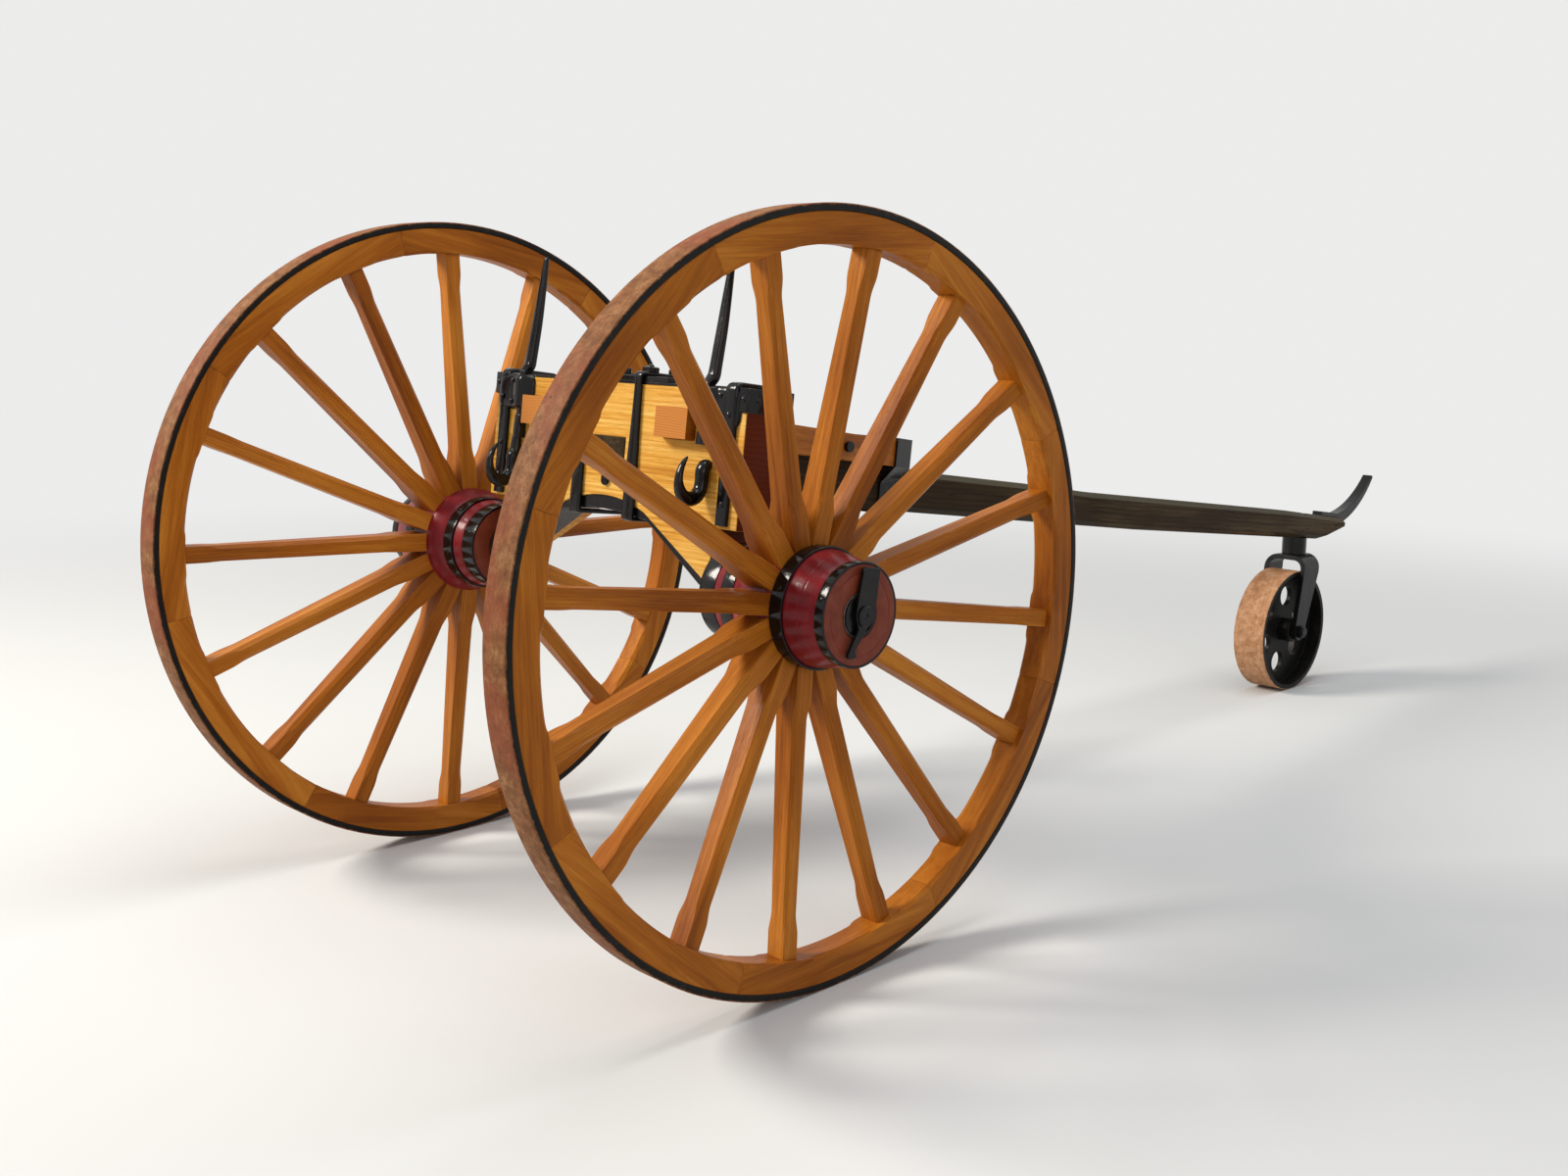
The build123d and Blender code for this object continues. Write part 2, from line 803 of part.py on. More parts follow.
# name, side of the carriage, height of the hook's eye
end_fittings = (
    ("near", -1, near_hook_height),
    ("far", 1, far_hook_height),
)
for name, hand, hook_height in end_fittings:
    with BuildPart() as end_iron:
        with BuildSketch(side.offset(-hand * end_strap_offset)):
            with BuildLine():
                Polyline(
                    (block_rear, strap_foot),
                    (strap_rear, strap_foot),
                    (strap_rear, strap_top - end_strap_corner),
                    (strap_rear + end_strap_corner, strap_top),
                    (strap_front - end_strap_corner, strap_top),
                    (strap_front, strap_top - end_strap_corner),
                    (strap_front, strap_foot),
                    (block_front, strap_foot),
                    (block_front, plate_top),
                    (block_rear, plate_top),
                    close=True,
                )
            make_face()
        extrude(amount=end_strap_width / 2, both=True)
        with BuildSketch(cross.offset(strap_rear)):
            with Locations((hand * keeper_offset, keeper_middle)):
                RectangleRounded(keeper_width, keeper_height, 10)
        extrude(amount=strap_thickness)
        with BuildSketch(deck.offset(plate_top)):
            with BuildLine():
                Polyline(
                    (block_rear, hand * keeper_offset),
                    (block_rear, hand * block_half_length),
                    (block_front, hand * block_half_length),
                    (block_front, hand * cap_side),
                    (cap_rear, hand * cap_side),
                    (cap_rear, hand * keeper_offset),
                    close=True,
                )
            make_face()
        extrude(amount=-cap_drop)
        with BuildSketch(deck.offset(keeper_middle)):
            with Locations((stake_place, hand * stake_offset)):
                Rectangle(stake_thickness + 2 * strap_thickness, stake_thickness + 2 * strap_thickness)
        extrude(amount=keeper_height / 2 - strap_thickness, both=True)
        with BuildSketch(side.offset(-hand * stake_offset)):
            with Locations((block_front, keeper_middle)):
                Rectangle(2 * block_thickness, keeper_height)
        extrude(amount=stake_thickness / 2 + strap_thickness, both=True, mode=Mode.SUBTRACT)
        with BuildSketch(deck.offset(keeper_middle)):
            with Locations((stake_place, hand * stake_offset)):
                Rectangle(stake_thickness + 2 * seat_gap, stake_thickness + 2 * seat_gap)
        extrude(amount=keeper_height, both=True, mode=Mode.SUBTRACT)
    finish(end_iron, f"{name}_end_iron")

    # Stake: a square bar held in the keeper, leaning forward above the block
    with BuildPart() as stake:
        for height, lean, thickness in stake_sections:
            with BuildSketch(deck.offset(height)):
                with Locations((stake_place + lean, hand * stake_offset)):
                    Rectangle(thickness, thickness)
        loft(ruled=True)
    finish(stake, f"{name}_stake")

    # Open chain hook on the block's rear face
    hook_bottom = hook_height - hook_eye - hook_floor
    with BuildPart() as chain_hook:
        with BuildSketch(side.offset(-hand * hook_offset)):
            with BuildLine():
                Polyline(
                    (hook_front, hook_bottom + hook_radius),
                    (hook_front, hook_top),
                    (hook_front - 8, hook_top),
                    (hook_throat, hook_height + hook_rise - 18),
                    (hook_throat, hook_height),
                )
                ThreePointArc(
                    (hook_throat, hook_height),
                    (hook_middle, hook_height - hook_eye),
                    (hook_back, hook_height),
                )
                Polyline(
                    (hook_back, hook_height),
                    (hook_back + 5, hook_height + hook_rise - 20),
                    (hook_back + 18, hook_height + hook_rise),
                    (hook_back + 7, hook_height + hook_rise - 1),
                    (hook_back - hook_prong + 3, hook_height + hook_rise - 28),
                    (hook_back - hook_prong, hook_height),
                    (hook_back - hook_prong, hook_bottom + hook_radius),
                )
                ThreePointArc(
                    (hook_back - hook_prong, hook_bottom + hook_radius),
                    (hook_front - hook_radius, hook_bottom),
                    (hook_front, hook_bottom + hook_radius),
                )
            make_face()
        extrude(amount=hook_width / 2, both=True)
    finish(chain_hook, f"{name}_chain_hook")

# Iron tongue under the pole's tenon, rounded at its lower end
tongue_radius = tongue_width / 2
tongue_top = pole_tenon_bottom - seat_gap
with BuildPart() as tail_tongue:
    with BuildSketch(cross.offset(block_rear - tongue_thickness)):
        with Locations((tongue_offset, tongue_top - (tongue_length - tongue_radius) / 2)):
            Rectangle(tongue_width, tongue_length - tongue_radius)
        with Locations((tongue_offset, tongue_top - tongue_length + tongue_radius)):
            Circle(tongue_radius)
    extrude(amount=tongue_thickness)
finish(tail_tongue, "tail_tongue")

# Nose hook: strap on the pole's nose, turned up to a point.
nose_strap_top = height_at(pole_tops, pole_front - nose_strap)
with BuildPart() as nose_hook:
    with BuildSketch(side):
        with BuildLine():
            Polyline(
                (pole_front - nose_strap, nose_strap_top + nose_strap_thickness),
                (pole_front - nose_strap, nose_strap_top + seat_gap),
                (pole_front + seat_gap, nose_top + seat_gap),
                (pole_front + seat_gap, nose_top - nose_thickness + 4),
            )
            ThreePointArc(
                (pole_front + seat_gap, nose_top - nose_thickness + 4),
                (pole_front + 0.54 * nose_hook_reach, nose_top + 0.24 * nose_hook_rise),
                (pole_front + nose_hook_reach, nose_top + nose_hook_rise),
            )
            Line(
                (pole_front + nose_hook_reach, nose_top + nose_hook_rise),
                (pole_front + nose_hook_reach - 10, nose_top + nose_hook_rise + 8),
            )
            ThreePointArc(
                (pole_front + nose_hook_reach - 10, nose_top + nose_hook_rise + 8),
                (pole_front + 0.47 * nose_hook_reach, nose_top + 0.41 * nose_hook_rise),
                (pole_front - 10, nose_top + nose_strap_thickness + 3),
            )
            Line(
                (pole_front - 10, nose_top + nose_strap_thickness + 3),
                (pole_front - nose_strap, nose_strap_top + nose_strap_thickness),
            )
        make_face()
    extrude(amount=nose_hook_width / 2, both=True)
finish(nose_hook, "nose_hook")

# Castor: socket under the pole, fork on a king pin and an iron wheel that trails behind it.
fork_inner = castor_width / 2 + castor_side_gap
fork_outer = fork_inner + fork_thickness
castor_x = swivel_x - castor_trail

with BuildPart() as castor_socket:
    with BuildSketch(Plane.XY.offset(crown_top + socket_gap)):
        with Locations((swivel_x, 0)):
            Circle(socket_radius)
            Circle(king_pin_radius + running_clearance, mode=Mode.SUBTRACT)
    extrude(amount=2 * socket_height)
    split(bisect_by=deck.offset(pole_underside), keep=Keep.BOTTOM)
finish(castor_socket, "castor_socket")

with BuildPart() as castor_fork:
    with BuildSketch(Plane.XZ):
        with Locations((castor_x, castor_radius)):
            Circle(fork_foot_radius)
        with Locations((swivel_x - crown_length / 20, crown_top - crown_depth / 2)):
            Rectangle(crown_length, crown_depth)
        make_hull()
    extrude(amount=fork_outer, both=True)
    with BuildSketch(Plane.YZ):
        with Locations((0, crown_top / 2)):
            RectangleRounded(2 * fork_outer, crown_top, fork_corner)
    extrude(amount=2 * swivel_x, mode=Mode.INTERSECT)
    with BuildSketch(Plane.YZ):
        with Locations((0, (crown_top - fork_thickness) / 2)):
            RectangleRounded(2 * fork_inner, crown_top - fork_thickness, fork_corner - fork_thickness)
    extrude(amount=2 * swivel_x, mode=Mode.SUBTRACT)
    with BuildSketch(Plane.XZ):
        with Locations((castor_x, castor_radius)):
            Circle(castor_axle_radius)
    extrude(amount=2 * fork_inner, both=True, mode=Mode.SUBTRACT)
    with BuildSketch(Plane.XY.offset(crown_top - fork_thickness / 2)):
        with Locations((swivel_x, 0)):
            Circle(king_pin_radius)
    extrude(amount=nut_seat + king_nut_height + 5 - crown_top + fork_thickness / 2)
    with BuildSketch(Plane.XY.offset(nut_seat + 1)):
        with Locations((swivel_x, 0)):
            Rectangle(king_nut_side, king_nut_side)
    extrude(amount=king_nut_height)
finish(castor_fork, "castor_fork")

with BuildPart() as castor_axle:
    with BuildSketch(Plane.XZ):
        with Locations((castor_x, castor_radius)):
            Circle(castor_axle_radius)
    extrude(amount=fork_outer + castor_axle_reach, both=True)
    for hand in (-1, 1):
        with BuildSketch(Plane.XZ.offset(hand * fork_outer)):
            with Locations((castor_x, castor_radius)):
                RegularPolygon(castor_nut_radius, 6)
        extrude(amount=hand * castor_nut_height)
finish(castor_axle, "castor_axle")

castor_pitch_radius = (castor_radius - castor_rim + castor_hub_radius) / 2
with BuildPart() as castor_wheel:
    with BuildSketch(Plane.XZ):
        with Locations((castor_x, castor_radius)):
            Circle(castor_radius)
    extrude(amount=castor_width / 2, both=True)
    for hand in (-1, 1):
        with BuildSketch(Plane.XZ.offset(hand * castor_web / 2)):
            with Locations((castor_x, castor_radius)):
                Circle(castor_radius - castor_rim)
                Circle(castor_hub_radius, mode=Mode.SUBTRACT)
        extrude(amount=hand * castor_width, mode=Mode.SUBTRACT)
    with BuildSketch(Plane.XZ):
        with Locations((castor_x, castor_radius)):
            Circle(castor_axle_radius + running_clearance)
            with PolarLocations(castor_pitch_radius, castor_hole_count, start_angle=castor_hole_start):
                Circle(castor_hole_radius)
    extrude(amount=castor_width, both=True, mode=Mode.SUBTRACT)
finish(castor_wheel, "castor_wheel")
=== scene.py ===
"""Looks of the two-wheeled timber carriage: materials, turned and carved detail, studio and camera."""

from math import asin, atan2, copysign, cos, hypot, pi, radians, sin, sqrt

import bpy
from mathutils import Matrix, Vector


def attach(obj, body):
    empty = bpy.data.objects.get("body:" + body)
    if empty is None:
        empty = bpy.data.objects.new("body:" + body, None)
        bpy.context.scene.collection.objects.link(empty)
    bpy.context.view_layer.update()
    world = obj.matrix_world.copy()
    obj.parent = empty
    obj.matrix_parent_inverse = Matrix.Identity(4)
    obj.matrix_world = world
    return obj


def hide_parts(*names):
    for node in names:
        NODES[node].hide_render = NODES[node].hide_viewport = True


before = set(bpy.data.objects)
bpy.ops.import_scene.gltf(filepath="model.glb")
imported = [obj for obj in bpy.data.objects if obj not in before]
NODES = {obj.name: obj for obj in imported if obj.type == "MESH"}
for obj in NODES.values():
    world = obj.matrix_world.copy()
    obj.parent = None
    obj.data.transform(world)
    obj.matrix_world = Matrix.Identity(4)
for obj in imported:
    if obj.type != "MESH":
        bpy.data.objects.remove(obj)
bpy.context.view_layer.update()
MM = 0.001
SIDES = (("near", -1), ("far", 1))

# Lengths are in millimetres here. A wheel is drawn with the axle along Z, outboard up.
WHEEL_RADIUS = 925
TRACK = 1610
TYRE_INNER = 907
TYRE_WIDTH = 80
FELLOES = 8
FELLOE_INNER = 835
FELLOE_WIDTH = 77
SPOKES = 16
NAVE_RADIUS = 152
BAND_THICKNESS = 6.5
CASTOR_RADIUS = 253
CASTOR_TRAIL = 84

# Lean of the carriage: the pole rests on the castor's socket
SWIVEL = 3669
CROWN_TOP = 568
SOCKET_HEIGHT = 68.9
SOCKET_DROP = WHEEL_RADIUS - CROWN_TOP - SOCKET_HEIGHT
POLE_UNDERSIDE = 174
NOSE_DOWN = atan2(SOCKET_DROP, SWIVEL) + asin(POLE_UNDERSIDE / hypot(SWIVEL, SOCKET_DROP))

# The carriage's own axes: p forward and q up from the axle's middle, y to the far side
AXLE = Vector((0, 0, WHEEL_RADIUS * MM))
FORWARD = Vector((cos(NOSE_DOWN), 0, -sin(NOSE_DOWN)))
SIDE = Vector((0, 1, 0))
UPWARD = Vector((sin(NOSE_DOWN), 0, cos(NOSE_DOWN)))
CARRIAGE = Matrix((FORWARD, SIDE, UPWARD)).transposed().to_4x4()
CARRIAGE.translation = AXLE

# Axle block, in the carriage's axes
BLOCK_REAR, BLOCK_FRONT = -48, 102
BLOCK_END = 525


def wheel_middle(hand):
    """Middle of a wheel, in metres."""
    return Vector((0, hand * TRACK / 2 * MM, AXLE.z))


# Shaders
class Shader:
    """Node tree of one material or world, with short calls for the nodes used here."""

    def __init__(self, name, kind="materials"):
        self.material = getattr(bpy.data, kind).new(name)
        self.material.use_nodes = True
        self.tree = self.material.node_tree
        self.tree.nodes.clear()
        if kind == "materials":
            self.surface = self.node("ShaderNodeBsdfPrincipled")
            self.output = self.node("ShaderNodeOutputMaterial", {0: self.surface.outputs[0]})
        else:
            self.output = self.node("ShaderNodeOutputWorld")

    def node(self, kind, inputs=None, **settings):
        made = self.tree.nodes.new(kind)
        for key, value in settings.items():
            setattr(made, key, value)
        for key, value in (inputs or {}).items():
            if isinstance(value, bpy.types.NodeSocket):
                self.tree.links.new(value, made.inputs[key])
            else:
                made.inputs[key].default_value = value
        return made

    def math(self, operation, a, b=0.0, clamp=False):
        return self.node("ShaderNodeMath", {0: a, 1: b}, operation=operation, use_clamp=clamp).outputs[0]

    def add(self, a, b):
        return self.math("ADD", a, b)

    def less(self, a, b):
        return self.math("SUBTRACT", a, b)

    def times(self, a, b, clamp=False):
        return self.math("MULTIPLY", a, b, clamp)

    def swing(self, value, share):
        """Rise and fall of a 0..1 value about its middle, times a share."""
        return self.times(self.less(value, 0.5), share)

    def vector(self, operation, a, b=(0, 0, 0)):
        made = self.node("ShaderNodeVectorMath", {0: a, 1: b}, operation=operation)
        return made.outputs["Value" if operation in ("LENGTH", "DOT_PRODUCT") else "Vector"]

    def axes(self, vector):
        return self.node("ShaderNodeSeparateXYZ", {0: vector}).outputs[:3]

    def join(self, x, y, z):
        return self.node("ShaderNodeCombineXYZ", {0: x, 1: y, 2: z}).outputs[0]

    def noise(self, vector, scale=1.0, detail=3.0, roughness=0.5):
        inputs = {"Vector": vector, "Scale": scale, "Detail": detail, "Roughness": roughness}
        return self.node("ShaderNodeTexNoise", inputs).outputs[0]

    def drawn(self, vector, scales, detail, roughness=0.5):
        """Noise with its own scale along each axis, so that it's drawn out along the lowest."""
        return self.noise(self.vector("MULTIPLY", vector, scales), 1.0, detail, roughness)

    def step(self, value, low, high):
        """Smooth rise from 0 at low to 1 at high."""
        inputs = {"Value": value, "From Min": low, "From Max": high}
        return self.node("ShaderNodeMapRange", inputs, interpolation_type="SMOOTHSTEP").outputs[0]

    def span(self, value, start, end):
        """Value from 0..1 spread to start..end."""
        return self.node("ShaderNodeMapRange", {"Value": value, "To Min": start, "To Max": end}).outputs[0]

    def ramp(self, factor, *stops):
        made = self.node("ShaderNodeValToRGB", {0: factor})
        elements = made.color_ramp.elements
        while len(elements) < len(stops):
            elements.new(0.5)
        for element, (place, colour) in zip(elements, stops):
            element.position = place
            element.color = (*colour, 1)
        return made.outputs[0]

    def blend(self, factor, a, b):
        a, b = [(*c, 1) if isinstance(c, tuple) else c for c in (a, b)]
        return self.node("ShaderNodeMix", {0: factor, 6: a, 7: b}, data_type="RGBA").outputs[2]

    def bump(self, height, distance, strength):
        inputs = {"Height": height, "Distance": distance, "Strength": strength}
        return self.node("ShaderNodeBump", inputs).outputs[0]

    def place(self):
        return self.node("ShaderNodeTexCoord").outputs["Object"]

    def facing(self, axis):
        """How squarely the surface faces along an axis of the object, 0 to 1."""
        normal = self.node("ShaderNodeTexCoord").outputs["Normal"]
        return self.math("ABSOLUTE", self.vector("DOT_PRODUCT", normal, axis))

    def seen(self):
        """1 for what the camera sees, also in gloss and through glass."""
        rays = self.node("ShaderNodeLightPath").outputs
        straight = self.math("MAXIMUM", rays["Is Camera Ray"], rays["Is Glossy Ray"])
        return self.math("MAXIMUM", straight, rays["Is Transmission Ray"])

    def finish(self, colour, roughness, normal=None, **plain):
        surface = self.surface
        self.tree.links.new(colour, surface.inputs["Base Color"])
        self.tree.links.new(roughness, surface.inputs["Roughness"])
        if normal is not None:
            self.tree.links.new(normal, surface.inputs["Normal"])
        for key, value in plain.items():
            surface.inputs[key.replace("_", " ")].default_value = value
        return self.material


def darker(colour, share):
    """Colour times a share below 1."""
    return tuple(c * share for c in colour)


def marked_grain(s):
    """Grain of the pieces made here: they carry their own place along and across the grain."""
    return s.node("ShaderNodeAttribute", attribute_name="grain").outputs["Vector"]


def marked_tone(s):
    """Tone of the pieces made here, one value for each spoke and felloe."""
    return s.node("ShaderNodeAttribute", attribute_name="tone").outputs["Fac"]


def straight_grain(along, across, up, mirrored=False):
    """Grain of a CAD timber: straight along one direction, or along two that mirror each other."""

    def build(s):
        place = s.place()
        if mirrored:
            x, y, z = s.axes(place)
            place = s.join(x, s.math("ABSOLUTE", y), z)
        return s.join(*[s.vector("DOT_PRODUCT", place, tuple(axis)) for axis in (along, across, up)])

    return build


# Where the tree's heart lies from a piece's own place, across the grain, in metres
HEART = (0.17, 0.11)


def wood(
    name, grain, tones, tone=None, ends=None, coat=0.04, rings=150, rough=0.38, cracks=0.0, upward_grey=None,
    figure=1.0, gloss=0.09, streaks=62,
):
    """Timber: growth rings bent by slow noise, fibres and pores drawn out along the grain, varnish on top.

    Tones are its deep, middle and pale colours, and tone shifts them from piece to piece. Ends is an axis and
    the colour of the end grain that faces along it. Rings is how many rings there are to the metre, streaks how
    fine the streaks are, and figure how strongly they all show. Cracks is the depth of drying cracks. The
    argument after cracks is a paler grey and its share, laid over the surfaces that face upward.
    """
    s = Shader(name)
    deep, middle, pale = tones
    vec = grain(s)
    slow = s.drawn(vec, (1.6, 7, 7), 2)
    swell = s.drawn(vec, (4.5, 16, 16), 2)
    _, y, z = s.axes(vec)
    heart = s.join(0.0, s.add(s.add(y, HEART[0]), s.swing(slow, 0.05)), s.add(z, HEART[1]))
    turn = s.add(s.times(s.vector("LENGTH", heart), rings), s.times(swell, 1.2))
    ring = s.math("FRACT", turn)
    ring = s.times(s.step(ring, 0.0, 0.72), s.less(1.0, s.step(ring, 0.86, 1.0)))
    fibre = s.drawn(vec, (9, 330, 330), 3, 0.6)
    pore = s.drawn(vec, (26, 900, 900), 1)
    streak = s.drawn(vec, (2.2, streaks, streaks), 3, 0.62)
    mixed = s.add(s.swing(ring, 0.1 * figure), s.swing(streak, 0.75 * figure))
    mixed = s.add(s.add(mixed, s.swing(fibre, 0.45 * figure)), slow)
    if tone:
        mixed = s.add(mixed, s.swing(tone(s), 0.17))
    colour = s.ramp(mixed, (0.22, deep), (0.5, middle), (0.78, pale))
    pores = s.less(1.0, s.step(pore, 0.3, 0.42))
    colour = s.blend(s.times(pores, 0.3 * figure), colour, darker(deep, 0.42))
    height = s.less(s.times(fibre, 0.6), pores)
    if cracks:
        split = s.math("ABSOLUTE", s.less(s.drawn(vec, (1.1, 34, 34), 2), 0.5))
        split = s.less(1.0, s.step(split, 0.002, 0.012))
        split = s.times(split, s.step(s.drawn(vec, (1.4, 5, 5), 2), 0.42, 0.6))
        colour = s.blend(s.times(split, 0.85), colour, darker(deep, 0.15))
        height = s.less(height, s.times(split, cracks))
    # Paler grey laid over the surfaces that face upward, in streaks along the grain
    if upward_grey:
        grey, share = upward_grey
        upper = s.axes(s.node("ShaderNodeTexCoord").outputs["Normal"])[2]
        upward_mask = s.times(s.step(upper, 0.1, 0.9), s.span(streak, 0.4, 1.2))
        colour = s.blend(s.times(upward_mask, share, clamp=True), colour, grey)
    if ends:
        axis, end_colour = ends
        speck = s.blend(s.step(ring, 0.2, 0.8), end_colour, darker(end_colour, 0.8))
        colour = s.blend(s.step(s.facing(axis), 0.75, 0.95), colour, speck)
    dust = s.noise(s.place(), 7.0, 3)
    return s.finish(
        colour, s.add(rough - 0.09, s.times(dust, 0.2)), s.bump(height, 0.0004, 0.6),
        Coat_Weight=coat, Coat_Roughness=0.1, Specular_IOR_Level=gloss,
    )


def paint(s, low, high, lumps=38.0):
    """Brushed gloss paint: slow clouds, the lumps under it, and a roughness that follows the clouds."""
    cloud = s.noise(s.place(), 9.0, 4)
    lump = s.noise(s.place(), lumps, 3, 0.55)
    return cloud, lump, s.span(cloud, low, high)


def paint_bump(s, lump, depth):
    """Normal of brushed paint over its lumps."""
    fine = s.noise(s.place(), 260.0, 2)
    return s.bump(s.add(lump, s.times(fine, 0.12)), depth, 0.7)


def black_iron(name, low=0.07, high=0.22, lumps=46.0, depth=0.0013):
    """Wrought iron under thick black gloss, with small rusty chips."""
    s = Shader(name)
    cloud, lump, roughness = paint(s, low, high, lumps)
    colour = s.ramp(
        cloud, (0.3, (0.003, 0.003, 0.0035)), (0.62, (0.006, 0.005, 0.005)), (0.8, (0.02, 0.014, 0.011)),
    )
    chips = s.step(s.noise(s.place(), 75.0, 4, 0.7), 0.69, 0.74)
    colour = s.blend(s.times(chips, 0.7), colour, (0.075, 0.04, 0.026))
    return s.finish(
        colour, roughness, paint_bump(s, lump, depth),
        Coat_Weight=0.08, Coat_Roughness=0.04, Specular_IOR_Level=0.22,
    )


def bright_wear(name):
    """Iron rubbed bare and oiled."""
    s = Shader(name)
    _, lump, roughness = paint(s, 0.28, 0.5, lumps=60.0)
    colour = s.ramp(lump, (0.3, (0.09, 0.065, 0.05)), (0.7, (0.24, 0.2, 0.17)))
    return s.finish(colour, roughness, paint_bump(s, lump, 0.0005), Metallic=0.7)


def crimson(name, middle):
    """Gloss crimson on turned wood, with fine lathe lines and a duller, browner end face."""
    s = Shader(name)
    cloud, lump, roughness = paint(s, 0.2, 0.42)
    place = s.vector("SUBTRACT", s.place(), middle)
    x, y, z = s.axes(place)
    radius = s.vector("LENGTH", s.join(x, 0.0, z))
    lines = s.drawn(s.join(radius, y, 0.0), (420, 420, 0), 2)
    rub = s.drawn(place, (24, 90, 24), 4, 0.65)
    mixed = s.add(s.times(cloud, 0.7), s.times(rub, 0.3))
    colour = s.ramp(
        mixed, (0.34, (0.13, 0.005, 0.009)), (0.52, (0.185, 0.009, 0.013)), (0.7, (0.245, 0.016, 0.02)),
    )
    end = s.step(s.facing((0, 1, 0)), 0.86, 0.97)
    brown = s.ramp(rub, (0.35, (0.13, 0.028, 0.009)), (0.7, (0.2, 0.05, 0.02)))
    colour = s.blend(s.times(end, 0.8), colour, brown)
    chips = s.step(s.noise(place, 55.0, 5, 0.75), 0.7, 0.73)
    colour = s.blend(s.times(chips, 0.5), colour, (0.3, 0.12, 0.07))
    height = s.add(s.times(lines, 0.35), s.times(lump, 0.9))
    return s.finish(
        colour, s.add(roughness, s.times(end, 0.14)), s.bump(height, 0.0006, 0.8),
        Coat_Weight=0.12, Coat_Roughness=0.07, Specular_IOR_Level=0.15,
    )


def worn_rim(name, middle, radius, tones, old_paint=None):
    """Iron rim: bare rusty tread with remains of old paint, black paint on its sides. Lengths in metres."""
    s = Shader(name)
    deep, rusty, pale = tones
    place = s.vector("SUBTRACT", s.place(), middle)
    x, _, z = s.axes(place)
    ragged = s.noise(place, 60.0, 4, 0.7)
    edge = s.add(s.vector("LENGTH", s.join(x, 0.0, z)), s.swing(ragged, 0.009))
    tread = s.step(edge, radius - 0.0042, radius - 0.0018)
    scratches = s.drawn(place, (9, 210, 9), 4, 0.6)
    spots = s.noise(place, 34.0, 6, 0.72)
    grit = s.noise(place, 330.0, 3, 0.6)
    mixed = s.add(s.add(s.times(scratches, 0.14), s.times(spots, 0.62)), s.times(grit, 0.24))
    rust = s.ramp(mixed, (0.36, deep), (0.5, rusty), (0.64, pale))
    if old_paint:
        left = s.step(s.noise(place, 4.2, 5, 0.68), 0.46, 0.6)
        rust = s.blend(s.times(left, 0.5), rust, old_paint)
    pits = s.less(1.0, s.step(s.noise(place, 90.0, 4, 0.7), 0.3, 0.4))
    rust = s.blend(s.times(pits, 0.7), rust, darker(deep, 0.4))
    side = s.ramp(
        spots, (0.35, (0.004, 0.004, 0.004)), (0.6, (0.009, 0.008, 0.007)), (0.72, (0.03, 0.02, 0.014)),
    )
    roughness = s.add(s.span(tread, 0.3, 0.52), s.times(grit, 0.22))
    height = s.less(s.add(spots, s.times(grit, 0.25)), s.times(pits, 0.5))
    return s.finish(s.blend(tread, side, rust), roughness, s.bump(height, 0.0009, 0.7), Specular_IOR_Level=0.14)


OAK = ((0.2, 0.05, 0.004), (0.37, 0.112, 0.009), (0.54, 0.2, 0.024))
BLOCK_OAK = ((0.44, 0.15, 0.012), (0.66, 0.325, 0.047), (0.8, 0.51, 0.14))
OLD_TIMBER = ((0.014, 0.0085, 0.003), (0.036, 0.021, 0.008), (0.085, 0.052, 0.024))
BLOCK_ENDS = (0.125, 0.022, 0.005)
ARM_ENDS = (0.57, 0.215, 0.045)
ARM_ALONG = Vector((FORWARD.x, -0.184, FORWARD.z)).normalized()
TYRE_TONES = ((0.1, 0.036, 0.012), (0.2, 0.08, 0.027), (0.35, 0.18, 0.075))
TYRE_OLD_PAINT = (0.23, 0.045, 0.02)
CASTOR_TONES = ((0.24, 0.1, 0.04), (0.43, 0.22, 0.11), (0.58, 0.36, 0.22))
CASTOR_MIDDLE = ((SWIVEL - CASTOR_TRAIL) * MM, 0, CASTOR_RADIUS * MM)

wheel_wood = wood("oak_wheel", marked_grain, OAK, tone=marked_tone, figure=0.72)
block_wood = wood(
    "oak_block", straight_grain(SIDE, FORWARD, UPWARD), BLOCK_OAK, ends=(tuple(SIDE), BLOCK_ENDS), rings=70,
    figure=1.1, streaks=130,
)
arm_wood = wood(
    "oak_arms", straight_grain(ARM_ALONG, ARM_ALONG.cross(UPWARD), UPWARD, mirrored=True), OAK,
    ends=(tuple(FORWARD), ARM_ENDS),
)
pole_wood = wood(
    "old_timber", straight_grain(FORWARD, SIDE, UPWARD), OLD_TIMBER, coat=0.03, rings=60, rough=0.5, cracks=3.0,
    upward_grey=((0.09, 0.082, 0.055), 0.8), gloss=0.06,
)
black = black_iron("black_gloss")
heavy = black_iron("black_forged", low=0.14, high=0.36, lumps=24.0, depth=0.0022)
rubbed = bright_wear("rubbed_iron")
castor_iron = worn_rim("castor_rim", CASTOR_MIDDLE, CASTOR_RADIUS * MM, CASTOR_TONES)
tyre_iron, nave_paint = {}, {}
for wheel, hand in SIDES:
    middle = wheel_middle(hand)
    tyre_iron[wheel] = worn_rim(f"tyre_{wheel}", middle, WHEEL_RADIUS * MM, TYRE_TONES, TYRE_OLD_PAINT)
    nave_paint[wheel] = crimson(f"crimson_{wheel}", middle)


